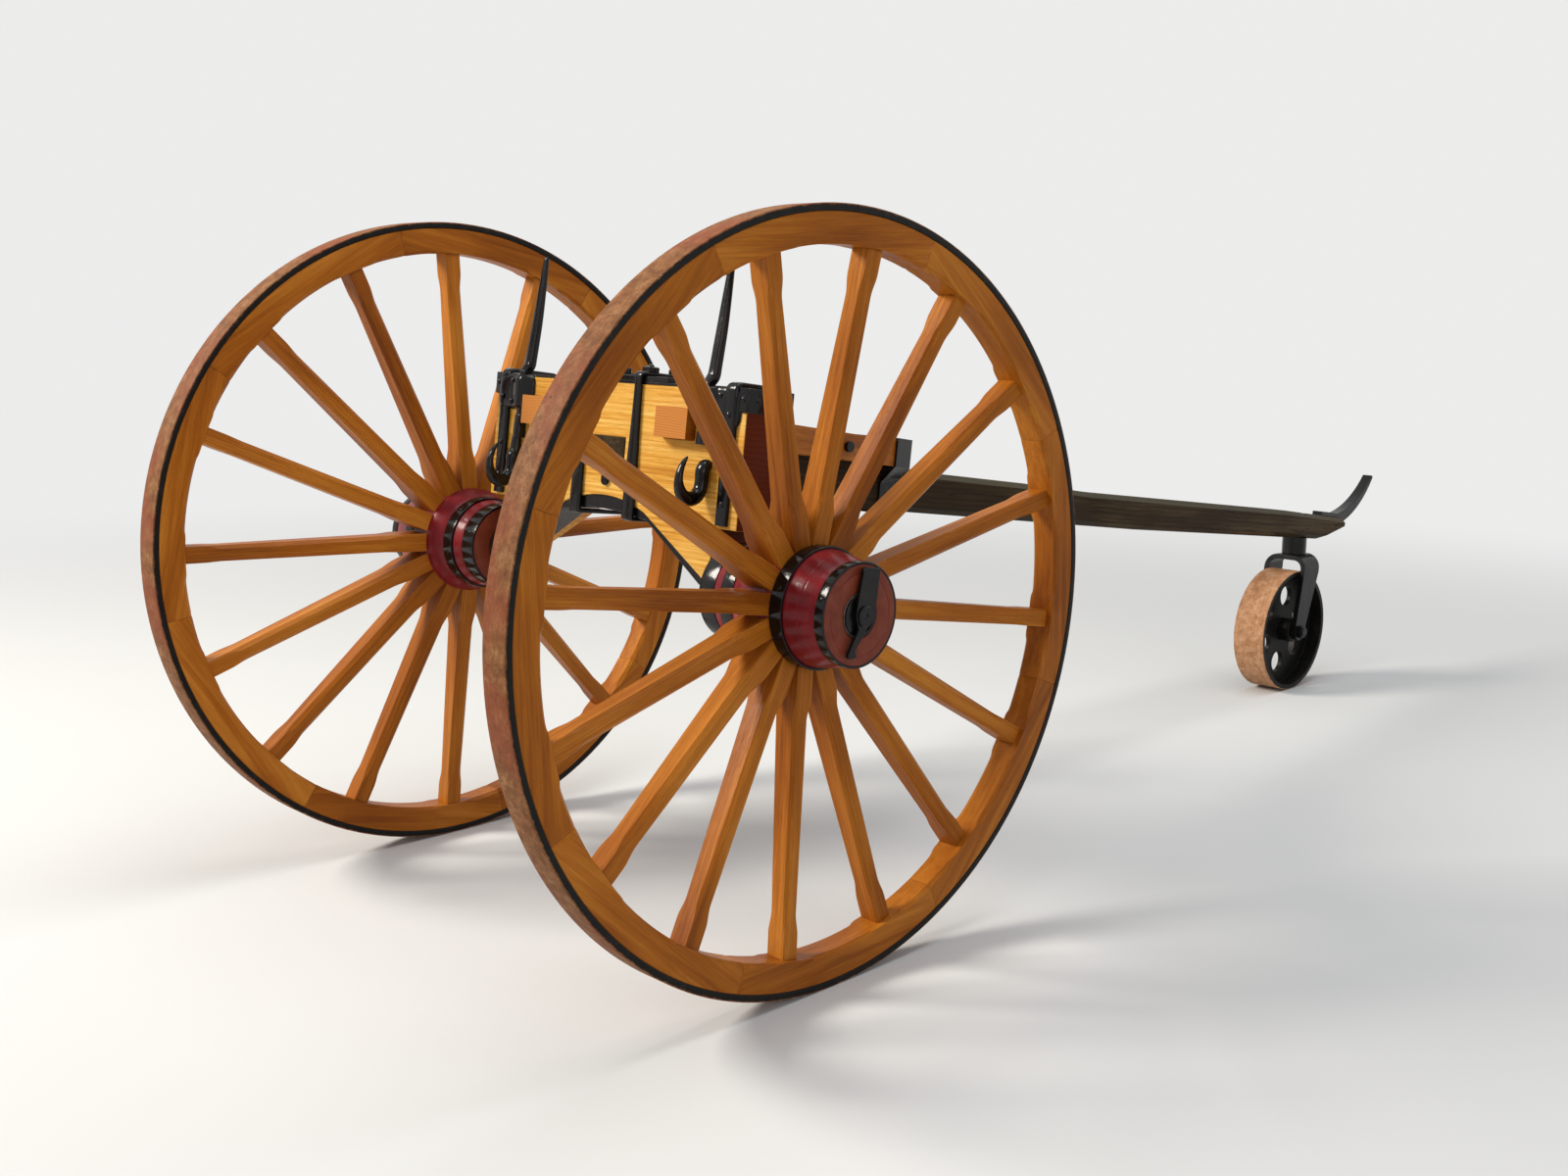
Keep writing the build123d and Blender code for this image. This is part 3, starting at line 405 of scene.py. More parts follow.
# Mesh building
class Heap:
    """Gathers pieces drawn in their own frames into one mesh, each with its own grain."""

    def __init__(self):
        self.points = []
        self.faces = []
        self.grain = []
        self.tone = []

    def add(self, points, faces, matrix, grain=None, shift=(0, 0, 0), tone=0.5):
        """Points in millimetres. Grain is each point's place along and across the grain, or else the point."""
        base = len(self.points)
        turned = matrix.to_3x3().determinant() < 0
        for index, point in enumerate(points):
            self.points.append(matrix @ (Vector(point) * MM))
            own = Vector(grain[index] if grain else point) * MM
            self.grain.append(own + Vector(shift))
            self.tone.append(tone)
        for face in faces:
            face = [base + corner for corner in face]
            self.faces.append(face[::-1] if turned else face)

    def make(self, name, body, material, slot=None, replaces=(), angle=32):
        mesh = bpy.data.meshes.new(name)
        mesh.from_pydata(self.points, [], self.faces)
        mesh.update()
        grain = mesh.attributes.new("grain", "FLOAT_VECTOR", "POINT")
        grain.data.foreach_set("vector", [c for point in self.grain for c in point])
        tone = mesh.attributes.new("tone", "FLOAT", "POINT")
        tone.data.foreach_set("value", self.tone)
        mesh.shade_smooth()
        mesh.set_sharp_from_angle(angle=radians(angle))
        mesh.materials.append(material)
        piece = bpy.data.objects.new(name, mesh)
        bpy.context.scene.collection.objects.link(piece)
        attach(piece, body)
        if replaces:
            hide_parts(*replaces)

    def forge(self, node, angle, material=black):
        """Ironwork of the carriage that shows one CAD node in more detail."""
        self.make(f"{node}_forged", "carriage", material, "black_iron", [node], angle)


def skin(rings, closed=False):
    """Faces between rings of the same number of points, in order, and over both ends unless it's closed."""
    count = len(rings[0])
    points = [point for ring in rings for point in ring]
    faces = []
    for index in range(len(rings) if closed else len(rings) - 1):
        a, b = index * count, (index + 1) % len(rings) * count
        for k in range(count):
            n = (k + 1) % count
            faces.append((a + k, a + n, b + n, b + k))
    if not closed:
        faces.append(tuple(reversed(range(count))))
        faces.append(tuple(range(len(points) - count, len(points))))
    return points, faces


def lathe(profile, segments):
    """Closed outline of radius and height, turned about Z. It runs anticlockwise with radius to the right."""
    rings = []
    for k in range(segments):
        angle = 2 * pi * k / segments
        rings.append([(r * cos(angle), r * sin(angle), t) for r, t in profile])
    points, faces = skin(rings, closed=True)
    return points, [face[::-1] for face in faces]


STRAIGHT = radians(172)
ROUND_ROOM = 0.45


def rounded(outline, radius, steps=3):
    """Closed 2-D outline with its corners rounded. A corner between short sides gets a smaller round."""
    out = []
    for k, corner in enumerate(outline):
        a, b, c = Vector(outline[k - 1]), Vector(corner), Vector(outline[(k + 1) % len(outline)])
        before, after = a - b, c - b
        if before.angle(after) > STRAIGHT:
            out.append(tuple(b))
            continue
        reach = min(radius, min(before.length, after.length) * ROUND_ROOM)
        start, end = b + before.normalized() * reach, b + after.normalized() * reach
        for step in range(steps + 1):
            t = step / steps
            out.append(tuple(start * (1 - t) ** 2 + b * 2 * t * (1 - t) + end * t**2))
    return out


MITRE_LIMIT = 0.35


def slab(outline, low, high, edge):
    """Plate between two heights, its outline drawn anticlockwise, with both faces' edges broken."""
    inner = []
    for k, corner in enumerate(outline):
        a, b, c = Vector(outline[k - 1]), Vector(corner), Vector(outline[(k + 1) % len(outline)])
        n0, n1 = (b - a).normalized(), (c - b).normalized()
        n0, n1 = Vector((-n0.y, n0.x)), Vector((-n1.y, n1.x))
        way = n0 + n1
        inner.append(b + way * (edge / max(MITRE_LIMIT, way.dot(n0))))
    return skin([
        [(x, y, low) for x, y in inner],
        [(x, y, low + edge) for x, y in outline],
        [(x, y, high - edge) for x, y in outline],
        [(x, y, high) for x, y in inner],
    ])


def arc(start, middle, end, steps):
    """Points on the circle through three points, both ends included."""
    (ax, ay), (bx, by), (cx, cy) = start, middle, end
    a, b, c = ax**2 + ay**2, bx**2 + by**2, cx**2 + cy**2
    d = 2 * (ax * (by - cy) + bx * (cy - ay) + cx * (ay - by))
    x = (a * (by - cy) + b * (cy - ay) + c * (ay - by)) / d
    y = (a * (cx - bx) + b * (ax - cx) + c * (bx - ax)) / d
    radius = hypot(ax - x, ay - y)
    first, last = atan2(ay - y, ax - x), atan2(cy - y, cx - x)
    angles = [first + (last - first) * k / steps for k in range(steps + 1)]
    return [(x + radius * cos(angle), y + radius * sin(angle)) for angle in angles]


def curve(stations, steps=5):
    """Smooth path through stations."""
    spots = [Vector(station) for station in stations]
    path = []
    for k in range(len(spots) - 1):
        p0, p1, p2, p3 = spots[max(k - 1, 0)], spots[k], spots[k + 1], spots[min(k + 2, len(spots) - 1)]
        for step in range(steps if k < len(spots) - 2 else steps + 1):
            t = step / steps
            square, cube = 2 * p0 - 5 * p1 + 4 * p2 - p3, 3 * p1 - p0 - 3 * p2 + p3
            path.append(0.5 * (2 * p1 + (p2 - p0) * t + square * t**2 + cube * t**3))
    return path


BAR_SIDES = 16


def along(path, power=0.75, closed=False):
    """Forged bar along a path of p, q, half thickness and half width. A low power squares its section."""
    rings = []
    last = len(path) - 1
    for k, (p, q, thick, wide) in enumerate(path):
        ahead = path[(k + 1) % len(path)] if closed else path[min(k + 1, last)]
        behind = path[k - 1] if closed else path[max(k - 1, 0)]
        way = Vector((ahead[0] - behind[0], ahead[1] - behind[1])).normalized()
        ring = []
        for j in range(BAR_SIDES):
            angle = 2 * pi * (j + 0.5) / BAR_SIDES
            c, d = [copysign(abs(v) ** power, v) for v in (cos(angle), sin(angle))]
            ring.append((p - way.y * thick * c, wide * d, q + way.x * thick * c))
        rings.append(ring)
    return skin(rings, closed)


DOME_SWEEP = 0.93


def dome(radius, height, segments=12, layers=3):
    """Rivet or nail head standing on Z=0, with a small flat top."""
    rings = []
    for layer in range(layers + 1):
        t = layer / layers * pi / 2
        r, z = radius * cos(t * DOME_SWEEP), height * sin(t)
        angles = [2 * pi * k / segments for k in range(segments)]
        rings.append([(r * cos(angle), r * sin(angle), z) for angle in angles])
    return skin(rings)


def nut(half, height, edge):
    """Square nut standing on Z=0, with its upright and upper edges broken."""
    layers = []
    for reach, z in ((half, 0), (half, height - edge), (half - edge, height)):
        corners = []
        for sx, sy in ((1, 1), (-1, 1), (-1, -1), (1, -1)):
            pair = [(sx * reach, sy * (reach - edge), z), (sx * (reach - edge), sy * reach, z)]
            corners += pair if sx * sy > 0 else pair[::-1]
        layers.append(corners)
    return skin(layers)


def frame_at(place, x_axis, z_axis):
    """Matrix whose Z looks along z_axis and X as near x_axis as it can, at a place in metres."""
    z = Vector(z_axis).normalized()
    y = z.cross(Vector(x_axis)).normalized()
    x = y.cross(z)
    matrix = Matrix((x, y, z)).transposed().to_4x4()
    matrix.translation = place
    return matrix


def on_carriage(p, y, q):
    """A place in the carriage's axes, in metres."""
    return CARRIAGE @ (Vector((p, y, q)) * MM)


def beside(y):
    """The carriage's axes, moved sideways."""
    return CARRIAGE @ Matrix.Translation((0, y * MM, 0))


def smooth(t):
    """Smooth rise from 0 to 1 while t does the same."""
    t = min(max(t, 0), 1)
    return t * t * (3 - 2 * t)


def tone_of(seed):
    """Even spread of tones over the pieces of a wheel, the same each run."""
    return 0.5 + 0.5 * sin(seed * 2.399 + 0.7) * (0.6 + 0.4 * sin(seed * 5.13))


# Spokes: sizes along the rim and along the axle, and how far outboard the middle is, at the nave and at the rim
SPOKE_FOOT_WIDTH, SPOKE_RIM_WIDTH = 52, 46
SPOKE_FOOT_DEPTH, SPOKE_RIM_DEPTH = 87, 56
SPOKE_FOOT_OUT, SPOKE_RIM_OUT = -83, -6
SPOKE_SUNK, SPOKE_GAP = 12, 0.3
# lengths of the square foot, and of a chamfer's run-out and the square end at the rim
SPOKE_SQUARE, SPOKE_RUNOUT = 66, 52
SPOKE_EDGE, SPOKE_CHAMFER = 1.6, 10
RUNOUT_STEPS = 7


def spoke_points():
    """Spoke along X: square foot and shoulder, chamfers that run out to points, drawn at its lean."""
    end = sqrt((FELLOE_INNER - SPOKE_GAP) ** 2 - (SPOKE_RIM_WIDTH / 2) ** 2)
    length = end - NAVE_RADIUS
    lean = (SPOKE_RIM_OUT - SPOKE_FOOT_OUT) / length
    taper = (SPOKE_RIM_DEPTH - SPOKE_FOOT_DEPTH) / length
    foot, rim = NAVE_RADIUS + SPOKE_SQUARE, end - SPOKE_RUNOUT
    shoulder, neck = foot + SPOKE_RUNOUT, rim - SPOKE_RUNOUT
    # radius, size along the rim, size along the axle
    sizes = (
        (NAVE_RADIUS - SPOKE_SUNK, SPOKE_FOOT_WIDTH, SPOKE_FOOT_DEPTH),
        (foot, SPOKE_FOOT_WIDTH, SPOKE_FOOT_DEPTH + taper * (foot - NAVE_RADIUS) * 1.5),
        (shoulder, 48, SPOKE_FOOT_DEPTH + taper * (shoulder - NAVE_RADIUS) * 2.2),
        (neck, 44, SPOKE_RIM_DEPTH + 2),
        (rim, SPOKE_RIM_WIDTH, SPOKE_RIM_DEPTH),
        (end, SPOKE_RIM_WIDTH, SPOKE_RIM_DEPTH),
    )
    stations = {size[0] for size in sizes} | {NAVE_RADIUS + 20, NAVE_RADIUS + 44}
    for k in range(RUNOUT_STEPS + 1):
        stations |= {foot + SPOKE_RUNOUT * k / RUNOUT_STEPS, rim - SPOKE_RUNOUT * k / RUNOUT_STEPS}
    rings, grain = [], []
    for radius in sorted(stations):
        for (r0, a0, b0), (r1, a1, b1) in zip(sizes, sizes[1:]):
            if radius <= r1:
                break
        t = (radius - r0) / (r1 - r0)
        # half sizes
        x, z = (a0 + (a1 - a0) * t) / 2, (b0 + (b1 - b0) * t) / 2
        full = smooth((radius - foot) / SPOKE_RUNOUT) * smooth((rim - radius) / SPOKE_RUNOUT)
        cut = SPOKE_EDGE + (SPOKE_CHAMFER - SPOKE_EDGE) * full
        middle = SPOKE_FOOT_OUT + lean * (radius - NAVE_RADIUS)
        section = (
            (-x + cut, -z), (x - cut, -z), (x, -z + cut), (x, z - cut),
            (x - cut, z), (-x + cut, z), (-x, z - cut), (-x, -z + cut),
        )
        rings.append([(radius, wide, middle + deep) for wide, deep in section])
        grain += [(radius, wide, deep) for wide, deep in section]
    return *skin(rings), grain


# Felloes. Angles are in degrees.
SPOKE_PITCH, FELLOE_SPAN = 360 / SPOKES, 360 / FELLOES
FELLOE_GAP = 0.021
FELLOE_STEPS = 60
FELLOE_EDGE, FELLOE_CHAMFER = 1.2, 9
CHAMFER_STOP, CHAMFER_RISE = 3.3, 1.6
FELLOE_END_EDGE, FELLOE_BACK_EDGE = 1.1, 1.5
GRAIN_RADIUS = 870


def felloe_points(index):
    """One felloe of eight, with inner chamfers that stop before each spoke."""
    end = SPOKE_PITCH / 2 + FELLOE_SPAN * index
    start = end - FELLOE_SPAN
    middle = radians((start + end) / 2)
    half = FELLOE_WIDTH / 2
    rings, grain = [], []
    for k in range(FELLOE_STEPS + 1):
        degree = start + FELLOE_GAP + (FELLOE_SPAN - 2 * FELLOE_GAP) * k / FELLOE_STEPS
        angle = radians(degree)
        off = abs((degree + SPOKE_PITCH / 2) % SPOKE_PITCH - SPOKE_PITCH / 2)
        cut = FELLOE_EDGE + (FELLOE_CHAMFER - FELLOE_EDGE) * smooth((off - CHAMFER_STOP) / CHAMFER_RISE)
        end_edge = FELLOE_END_EDGE if k in (0, FELLOE_STEPS) else 0
        section = (
            (FELLOE_INNER + end_edge, -half + cut), (FELLOE_INNER + cut, -half + end_edge),
            (TYRE_INNER - FELLOE_BACK_EDGE, -half + end_edge), (TYRE_INNER, -half + FELLOE_BACK_EDGE),
            (TYRE_INNER, half - FELLOE_BACK_EDGE), (TYRE_INNER - FELLOE_BACK_EDGE, half - end_edge),
            (FELLOE_INNER + cut, half - end_edge), (FELLOE_INNER + end_edge, half - cut),
        )
        rings.append([(r * cos(angle), r * sin(angle), t) for r, t in section])
        turn = angle - middle
        grain += [(r * sin(turn), r * cos(turn) - GRAIN_RADIUS, t) for r, t in section]
    return *skin(rings), grain


# Wheels. Turned outlines are radius and distance outboard.
NAVE_OUTLINE = (
    (56, -315), (112, -315), (114, -313), (114, -262), (119, -262), (121, -255), (127, -228), (126, -226),
    (126, -184), (131, -184), (139, -168), (147, -150), (152, -138), (152, -56), (147, -46), (141, -41),
    (141, -1), (140, 3), (137.2, 22), (134.2, 40), (133, 43), (133.2, 45), (132.4, 49), (128, 66),
    (123.5, 81), (122, 83), (118, 84), (118, 109), (116.5, 110), (98, 110), (96.5, 108.8), (95, 110), (56, 110),
)
# inner end, outer end, radius under the band
NAVE_BANDS = ((-315, -262, 114), (-226, -184, 126), (-39.2, 0, 141), (83, 110, 118))
BAND_NAILS = 6
NAIL = {"radius": 6.5, "height": 2.6}
NAIL_SUNK = 0.6
# degrees that the first spoke is turned from level, as parked
FIRST_SPOKE = {"near": 13.4, "far": 20.5}


def hoop(inner, outer, low, high, edge, segments):
    """Ring of square section with rounded edges."""
    return lathe(rounded([(inner, low), (outer, low), (outer, high), (inner, high)], edge), segments)


spoke, spoke_faces, spoke_grain = spoke_points()
for wheel, hand in SIDES:
    body = f"{wheel}_wheel"
    first = radians(FIRST_SPOKE[wheel])
    seat = frame_at(wheel_middle(hand), (cos(first), 0, sin(first)), (0, hand, 0))

    # Every spoke and felloe is cut from another place in the tree
    made = Heap()
    for k in range(SPOKES):
        turn = seat @ Matrix.Rotation(2 * pi * k / SPOKES, 4, "Z")
        shift = (k * 3.3 + hand, k * 1.7, k * 0.9)
        made.add(spoke, spoke_faces, turn, spoke_grain, shift, tone_of(k + 3 * hand))
    made.make(f"{wheel}_spokes_carved", body, wheel_wood, "timber_varnished", [f"{wheel}_spokes"], angle=20)

    made = Heap()
    for k in range(FELLOES):
        points, faces, grain = felloe_points(k)
        made.add(points, faces, seat, grain, (k * 2.9 - hand, k * 1.3, 40 + k), tone_of(20 + k * 2 + hand))
    made.make(f"{wheel}_felloes_carved", body, wheel_wood, "timber_varnished", [f"{wheel}_felloes"], angle=20)

    made = Heap()
    made.add(*hoop(TYRE_INNER, WHEEL_RADIUS, -TYRE_WIDTH / 2, TYRE_WIDTH / 2, edge=3.2, segments=256), seat)
    made.make(f"{wheel}_tyre_worn", body, tyre_iron[wheel], "tyre_iron", [f"{wheel}_tyre"], angle=30)

    made = Heap()
    made.add(*lathe(rounded(NAVE_OUTLINE, 1.6, steps=2), segments=160), seat)
    made.make(f"{wheel}_nave_turned", body, nave_paint[wheel], "crimson_paint", [f"{wheel}_nave"], angle=24)

    bands, nails = Heap(), Heap()
    for low, high, radius in NAVE_BANDS:
        outer = radius + BAND_THICKNESS
        bands.add(*hoop(radius, outer, low, high, edge=2.4, segments=144), seat)
        for k in range(BAND_NAILS):
            angle = radians(360 / BAND_NAILS * k + low)
            out = Vector((cos(angle), sin(angle), 0))
            place = out * (outer - NAIL_SUNK) + Vector((0, 0, (low + high) / 2))
            nails.add(*dome(**NAIL), seat @ frame_at(place * MM, (0, 0, 1), out))
    bands.make(f"{wheel}_nave_bands_forged", body, black, "black_iron", [f"{wheel}_nave_bands"], angle=30)
    nails.make(f"{wheel}_band_nails", body, black, "black_iron")

# Axle: bar drawn as y and q, then p, and arms drawn as radius and distance out from the carriage's middle
ACROSS = CARRIAGE @ Matrix(((0, 0, 1, 0), (1, 0, 0, 0), (0, 1, 0, 0), (0, 0, 0, 1)))
BAR_HALF = 46
BAR = (
    arc((-164, 142), (0, 156), (164, 142), 18)
    + [(178, 142), (404, 4), (441, 4), (441, 22), (412, 22)]
    + arc((170, 160), (0, 192), (-170, 160), 18)
    + [(-412, 22), (-441, 22), (-441, 4), (-404, 4), (-178, 142)]
)
# collar, tapered arm, stub beyond the linchpin
ARM = (
    (0, 441), (62, 441), (62, 467), (56, 472), (56, 485), (50.1, 485), (42, 915), (42, 917), (25, 919),
    (25, 936), (22, 939), (7, 939), (4, 935), (0, 935),
)
WASHER = ((43, 915.6), (50, 915.6), (51, 916.6), (51, 919), (50, 920), (43, 920))
# linchpin drawn as p and q
LINCHPIN = (
    (-14, -97), (-22, -80), (14, -26), (29, -4), (34, 22), (36.5, 106), (32, 112), (-13, 112), (-18, 106),
    (-27, 30), (-29, 0), (-16, -32), (-45, -92), (-38, -99),
)
LINCHPIN_OUT, LINCHPIN_HALF = 927, 5

made = Heap()
made.add(*slab(BAR, -BAR_HALF, BAR_HALF, edge=2), ACROSS)
for _, hand in SIDES:
    made.add(*lathe(ARM, segments=72), frame_at(AXLE, FORWARD, SIDE * hand))
made.forge("crank_axle", angle=30, material=heavy)

for wheel, hand in SIDES:
    upright = beside(hand * LINCHPIN_OUT) @ Matrix(((1, 0, 0, 0), (0, 0, -1, 0), (0, 1, 0, 0), (0, 0, 0, 1)))
    made = Heap()
    made.add(*slab(rounded(LINCHPIN, 4, steps=2), -LINCHPIN_HALF, LINCHPIN_HALF, edge=1.4), upright)
    made.forge(f"{wheel}_linchpin", angle=30)
    made = Heap()
    made.add(*lathe(WASHER, segments=96), frame_at(AXLE, FORWARD, SIDE * hand))
    made.make(f"{wheel}_arm_washer", "carriage", black, "black_iron")

# Chain hooks: p, height above the hook's eye, half thickness, half width. The far one's stem starts at its stake.
HOOK = (
    (-49, 42, 12, 14), (-59, 39, 15, 16), (-67, 25, 15.5, 17), (-66.5, 0, 15, 17), (-70, -23, 16, 17),
    (-84, -40, 18, 17), (-105, -45.5, 18.5, 16.5), (-126, -36, 15.5, 15), (-138.5, -15, 11.5, 12.5),
    (-141, 8, 8.5, 10.5), (-136, 30, 6.8, 8.5), (-127, 47, 4.8, 6), (-119, 57, 2.4, 3),
)
HOOK_EYE = {"near": 262, "far": 240}
FAR_HOOK_START = (-58, 321, 10, 15)
HOOK_OUT = 404
for wheel, hand in SIDES:
    bar = [(p, HOOK_EYE[wheel] + q, thick, wide) for p, q, thick, wide in HOOK]
    if wheel == "far":
        bar[0] = FAR_HOOK_START
    made = Heap()
    made.add(*along(curve(bar)), beside(hand * HOOK_OUT))
    made.forge(f"{wheel}_chain_hook", angle=50)

# Stakes: p, q, half thickness, half width. The near one's foot ends higher.
STAKE = (
    (-61, 376, 12, 13), (-59.3, 392, 11, 11), (-59.3, 490, 11, 11), (-56, 503, 12, 12.5), (-48, 513, 13, 14),
    (-42, 524, 13, 14), (-39, 545, 12.5, 13.5), (-33, 600, 12, 13), (-27, 660, 11, 12), (-20, 750, 8.5, 9),
    (-15.5, 816, 6, 6.5), (-15.2, 823, 4.6, 5), (-15.1, 826, 2.6, 3),
)
STAKE_FOOT = {"near": ((-62, 351, 13, 15),), "far": ((-62, 318, 13, 15), (-62, 340, 13, 15))}
STAKE_OUT = 388
for wheel, hand in SIDES:
    made = Heap()
    made.add(*along(curve(STAKE_FOOT[wheel] + STAKE, steps=4), power=0.4), beside(hand * STAKE_OUT))
    made.forge(f"{wheel}_stake", angle=40)

# Straps run outside the block's faces, with their middle line drawn as p and q
STRAP_HALF = 6
STRAP_POWER = 0.42
STRAP_REAR, STRAP_FRONT = BLOCK_REAR - STRAP_HALF, BLOCK_FRONT + STRAP_HALF

# Pole straps round the block and the axle's bar, broader towards their foot and at the top, with nuts on top
POLE_STRAP_BOTTOM, SLIM_END, POLE_STRAP_TOP = 140, 506, 518
POLE_STRAP_OUT = 113
LEG_START, LEG_LENGTH, LEG_STEPS = 150, 345, 8
LEG = [LEG_START + LEG_LENGTH * k / LEG_STEPS for k in range(LEG_STEPS + 1)]
LOOP = (
    [(STRAP_REAR, q) for q in (POLE_STRAP_BOTTOM, *LEG, POLE_STRAP_TOP)]
    + [(STRAP_FRONT, q) for q in (POLE_STRAP_TOP, *LEG[::-1], POLE_STRAP_BOTTOM)]
)
NUT = {"half": 17, "height": 14, "edge": 2.5}
STUD = {"radius": 9, "height": 7, "segments": 16, "layers": 4}
NUT_PLACES = (-18, 72)
NUT_SEAT, STUD_SEAT = 523.6, 538


def pole_strap_half_width(q):
    """Broad at the foot, slim up the block and broader again over it."""
    waist, foot_extra, top_extra = 12, 10.5, 5
    foot = 1 - smooth((q - POLE_STRAP_BOTTOM) / (SLIM_END - 1 - POLE_STRAP_BOTTOM))
    top = smooth((q - SLIM_END) / (POLE_STRAP_TOP - SLIM_END))
    return waist + foot_extra * foot + top_extra * top


made = Heap()
bar = [(p, q, STRAP_HALF, pole_strap_half_width(q)) for p, q in rounded(LOOP, 9, steps=4)]
for _, hand in SIDES:
    made.add(*along(bar, STRAP_POWER, closed=True), beside(hand * POLE_STRAP_OUT))
    for p in NUT_PLACES:
        at = frame_at(on_carriage(p, hand * POLE_STRAP_OUT, NUT_SEAT), FORWARD, UPWARD)
        made.add(*nut(**NUT), at)
made.forge("pole_straps", angle=40)

# End irons: a strap over the block, a keeper that swells round the stake, and a cap on the block's end
END_STRAP_FOOT, END_STRAP_BEND, END_STRAP_TOP = 158, 440, 504
END_STRAP_OUT, END_STRAP_HALF_WIDTH = 476, 20
END_STRAP_CORNER, END_STRAP_STEPS = 17, 5
END_STRAP_RISE = END_STRAP_BEND - END_STRAP_FOOT
END_STRAP_LEG = [END_STRAP_FOOT + END_STRAP_RISE * k / END_STRAP_STEPS for k in range(END_STRAP_STEPS)]
# only the two upper corners of this outline are used
END_STRAP_BENDS = rounded([
    (STRAP_REAR, END_STRAP_BEND), (STRAP_REAR, END_STRAP_TOP), (STRAP_FRONT, END_STRAP_TOP),
    (STRAP_FRONT, END_STRAP_BEND),
], END_STRAP_CORNER, END_STRAP_STEPS)[END_STRAP_STEPS + 1:-END_STRAP_STEPS - 1]
END_STRAP = (
    [(STRAP_REAR, q) for q in (*END_STRAP_LEG, END_STRAP_BEND)]
    + END_STRAP_BENDS
    + [(STRAP_FRONT, q) for q in (END_STRAP_BEND, *END_STRAP_LEG[::-1])]
)
KEEPER_Y, KEEPER_Q = 427, 447.5
KEEPER_HALF_WIDTH, KEEPER_HALF_HEIGHT = 80, 51.5
KEEPER_CORNER = 28
KEEPER_COLUMNS, KEEPER_ROWS = 44, 22
KEEPER_THICKNESS = {"near": 9.5, "far": 15}
# p of its back and of its thin rim, and the thickness over the stake
KEEPER_BACK, KEEPER_RIM = -48.2, -49.7
KEEPER_SWELL, KEEPER_SWELL_HALF, KEEPER_SWELL_FLAT = 30.5, 36, 1.15
# powers that keep the pillow flat across and up to near its edges
FLAT_ACROSS, FLAT_UP = 8, 6
# cap drawn as p and y, with its lowest and highest q
CAP_FACE = BLOCK_END + 6
CAP = rounded([
    (STRAP_REAR, KEEPER_Y), (BLOCK_REAR, KEEPER_Y), (BLOCK_REAR, BLOCK_END), (BLOCK_FRONT, BLOCK_END),
    (BLOCK_FRONT, CAP_FACE), (STRAP_REAR, CAP_FACE),
], 5)
CAP_BOTTOM, CAP_TOP = 438, 498


def keeper_points(thick):
    """Pillow on the block's rear face, highest over the stake."""
    rings = []
    for k in range(KEEPER_ROWS + 1):
        v = -cos(pi * k / KEEPER_ROWS)
        near_edge = max(0, KEEPER_CORNER - KEEPER_HALF_HEIGHT * (1 - abs(v)))
        half = KEEPER_HALF_WIDTH - KEEPER_CORNER + sqrt(KEEPER_CORNER**2 - near_edge**2)
        rise = sqrt(max(0, 1 - abs(v) ** FLAT_UP))
        q = KEEPER_Q + v * KEEPER_HALF_HEIGHT
        ring = [(KEEPER_BACK, KEEPER_Y - half, q)]
        for j in range(KEEPER_COLUMNS + 1):
            u = -cos(pi * j / KEEPER_COLUMNS)
            y = KEEPER_Y + u * half
            over_stake = smooth(KEEPER_SWELL_FLAT - abs(y - STAKE_OUT) / KEEPER_SWELL_HALF)
            swell = thick + (KEEPER_SWELL - thick) * over_stake
            ring.append((KEEPER_RIM - swell * rise * sqrt(max(0, 1 - abs(u) ** FLAT_ACROSS)), y, q))
        ring.append((KEEPER_BACK, KEEPER_Y + half, q))
        rings.append(ring)
    return skin(rings)


def end_strap_extra(p, q):
    """Extra thickness on the rear face beside the keeper."""
    most, start, run = 1.5, 392, 20
    return most * smooth((q - start) / run) * smooth(-p / run)


bar = []
for p, q in END_STRAP:
    extra = end_strap_extra(p, q)
    bar.append((p - extra, q, STRAP_HALF + extra, END_STRAP_HALF_WIDTH))
for wheel, hand in SIDES:
    mirror = CARRIAGE @ Matrix.Diagonal((1, hand, 1, 1))
    made = Heap()
    made.add(*along(bar, STRAP_POWER), beside(hand * END_STRAP_OUT))
    made.add(*slab(CAP, CAP_BOTTOM, CAP_TOP, edge=1.4), mirror)
    made.add(*keeper_points(KEEPER_THICKNESS[wheel]), mirror)
    made.forge(f"{wheel}_end_iron", angle=40)

# Finish of the CAD's own iron and timber: material, width of the broken edges, nodes
FINISHES = (
    (block_wood, 3.0, ("axle_block",)),
    (arm_wood, 3.0, ("arms",)),
    (pole_wood, 4.0, ("pole",)),
    (heavy, 2.2, ("nose_hook", "castor_fork")),
    (black, 1.8, ("top_plate", "bridge_plate", "arm_bolt", "arm_band", "castor_socket", "castor_axle")),
    (black, 4.0, ("tail_tongue",)),
    (castor_iron, 2.5, ("castor_wheel",)),
    (rubbed, 0.8, ("near_axle_box", "far_axle_box")),
)
WIDE_EDGE = 2.4


def soften(node, width):
    """Broken edges on a CAD solid, by modifiers alone."""
    weld = node.modifiers.new("weld", "WELD")
    weld.merge_threshold = 0.00002
    flat = node.modifiers.new("flat", "DECIMATE")
    flat.decimate_type = "DISSOLVE"
    flat.angle_limit = radians(0.5)
    edge = node.modifiers.new("edge", "BEVEL")
    edge.width = width * MM
    edge.segments = 3 if width > WIDE_EDGE else 2
    edge.limit_method = "ANGLE"
    edge.angle_limit = radians(34)
    edge.harden_normals = False
    edge.use_clamp_overlap = True
    weight = node.modifiers.new("weight", "WEIGHTED_NORMAL")
    weight.keep_sharp = True


for material, width, names in FINISHES:
    for name in names:
        node = NODES[name]
        node.data.materials.clear()
        node.data.materials.append(material)
        soften(node, width)

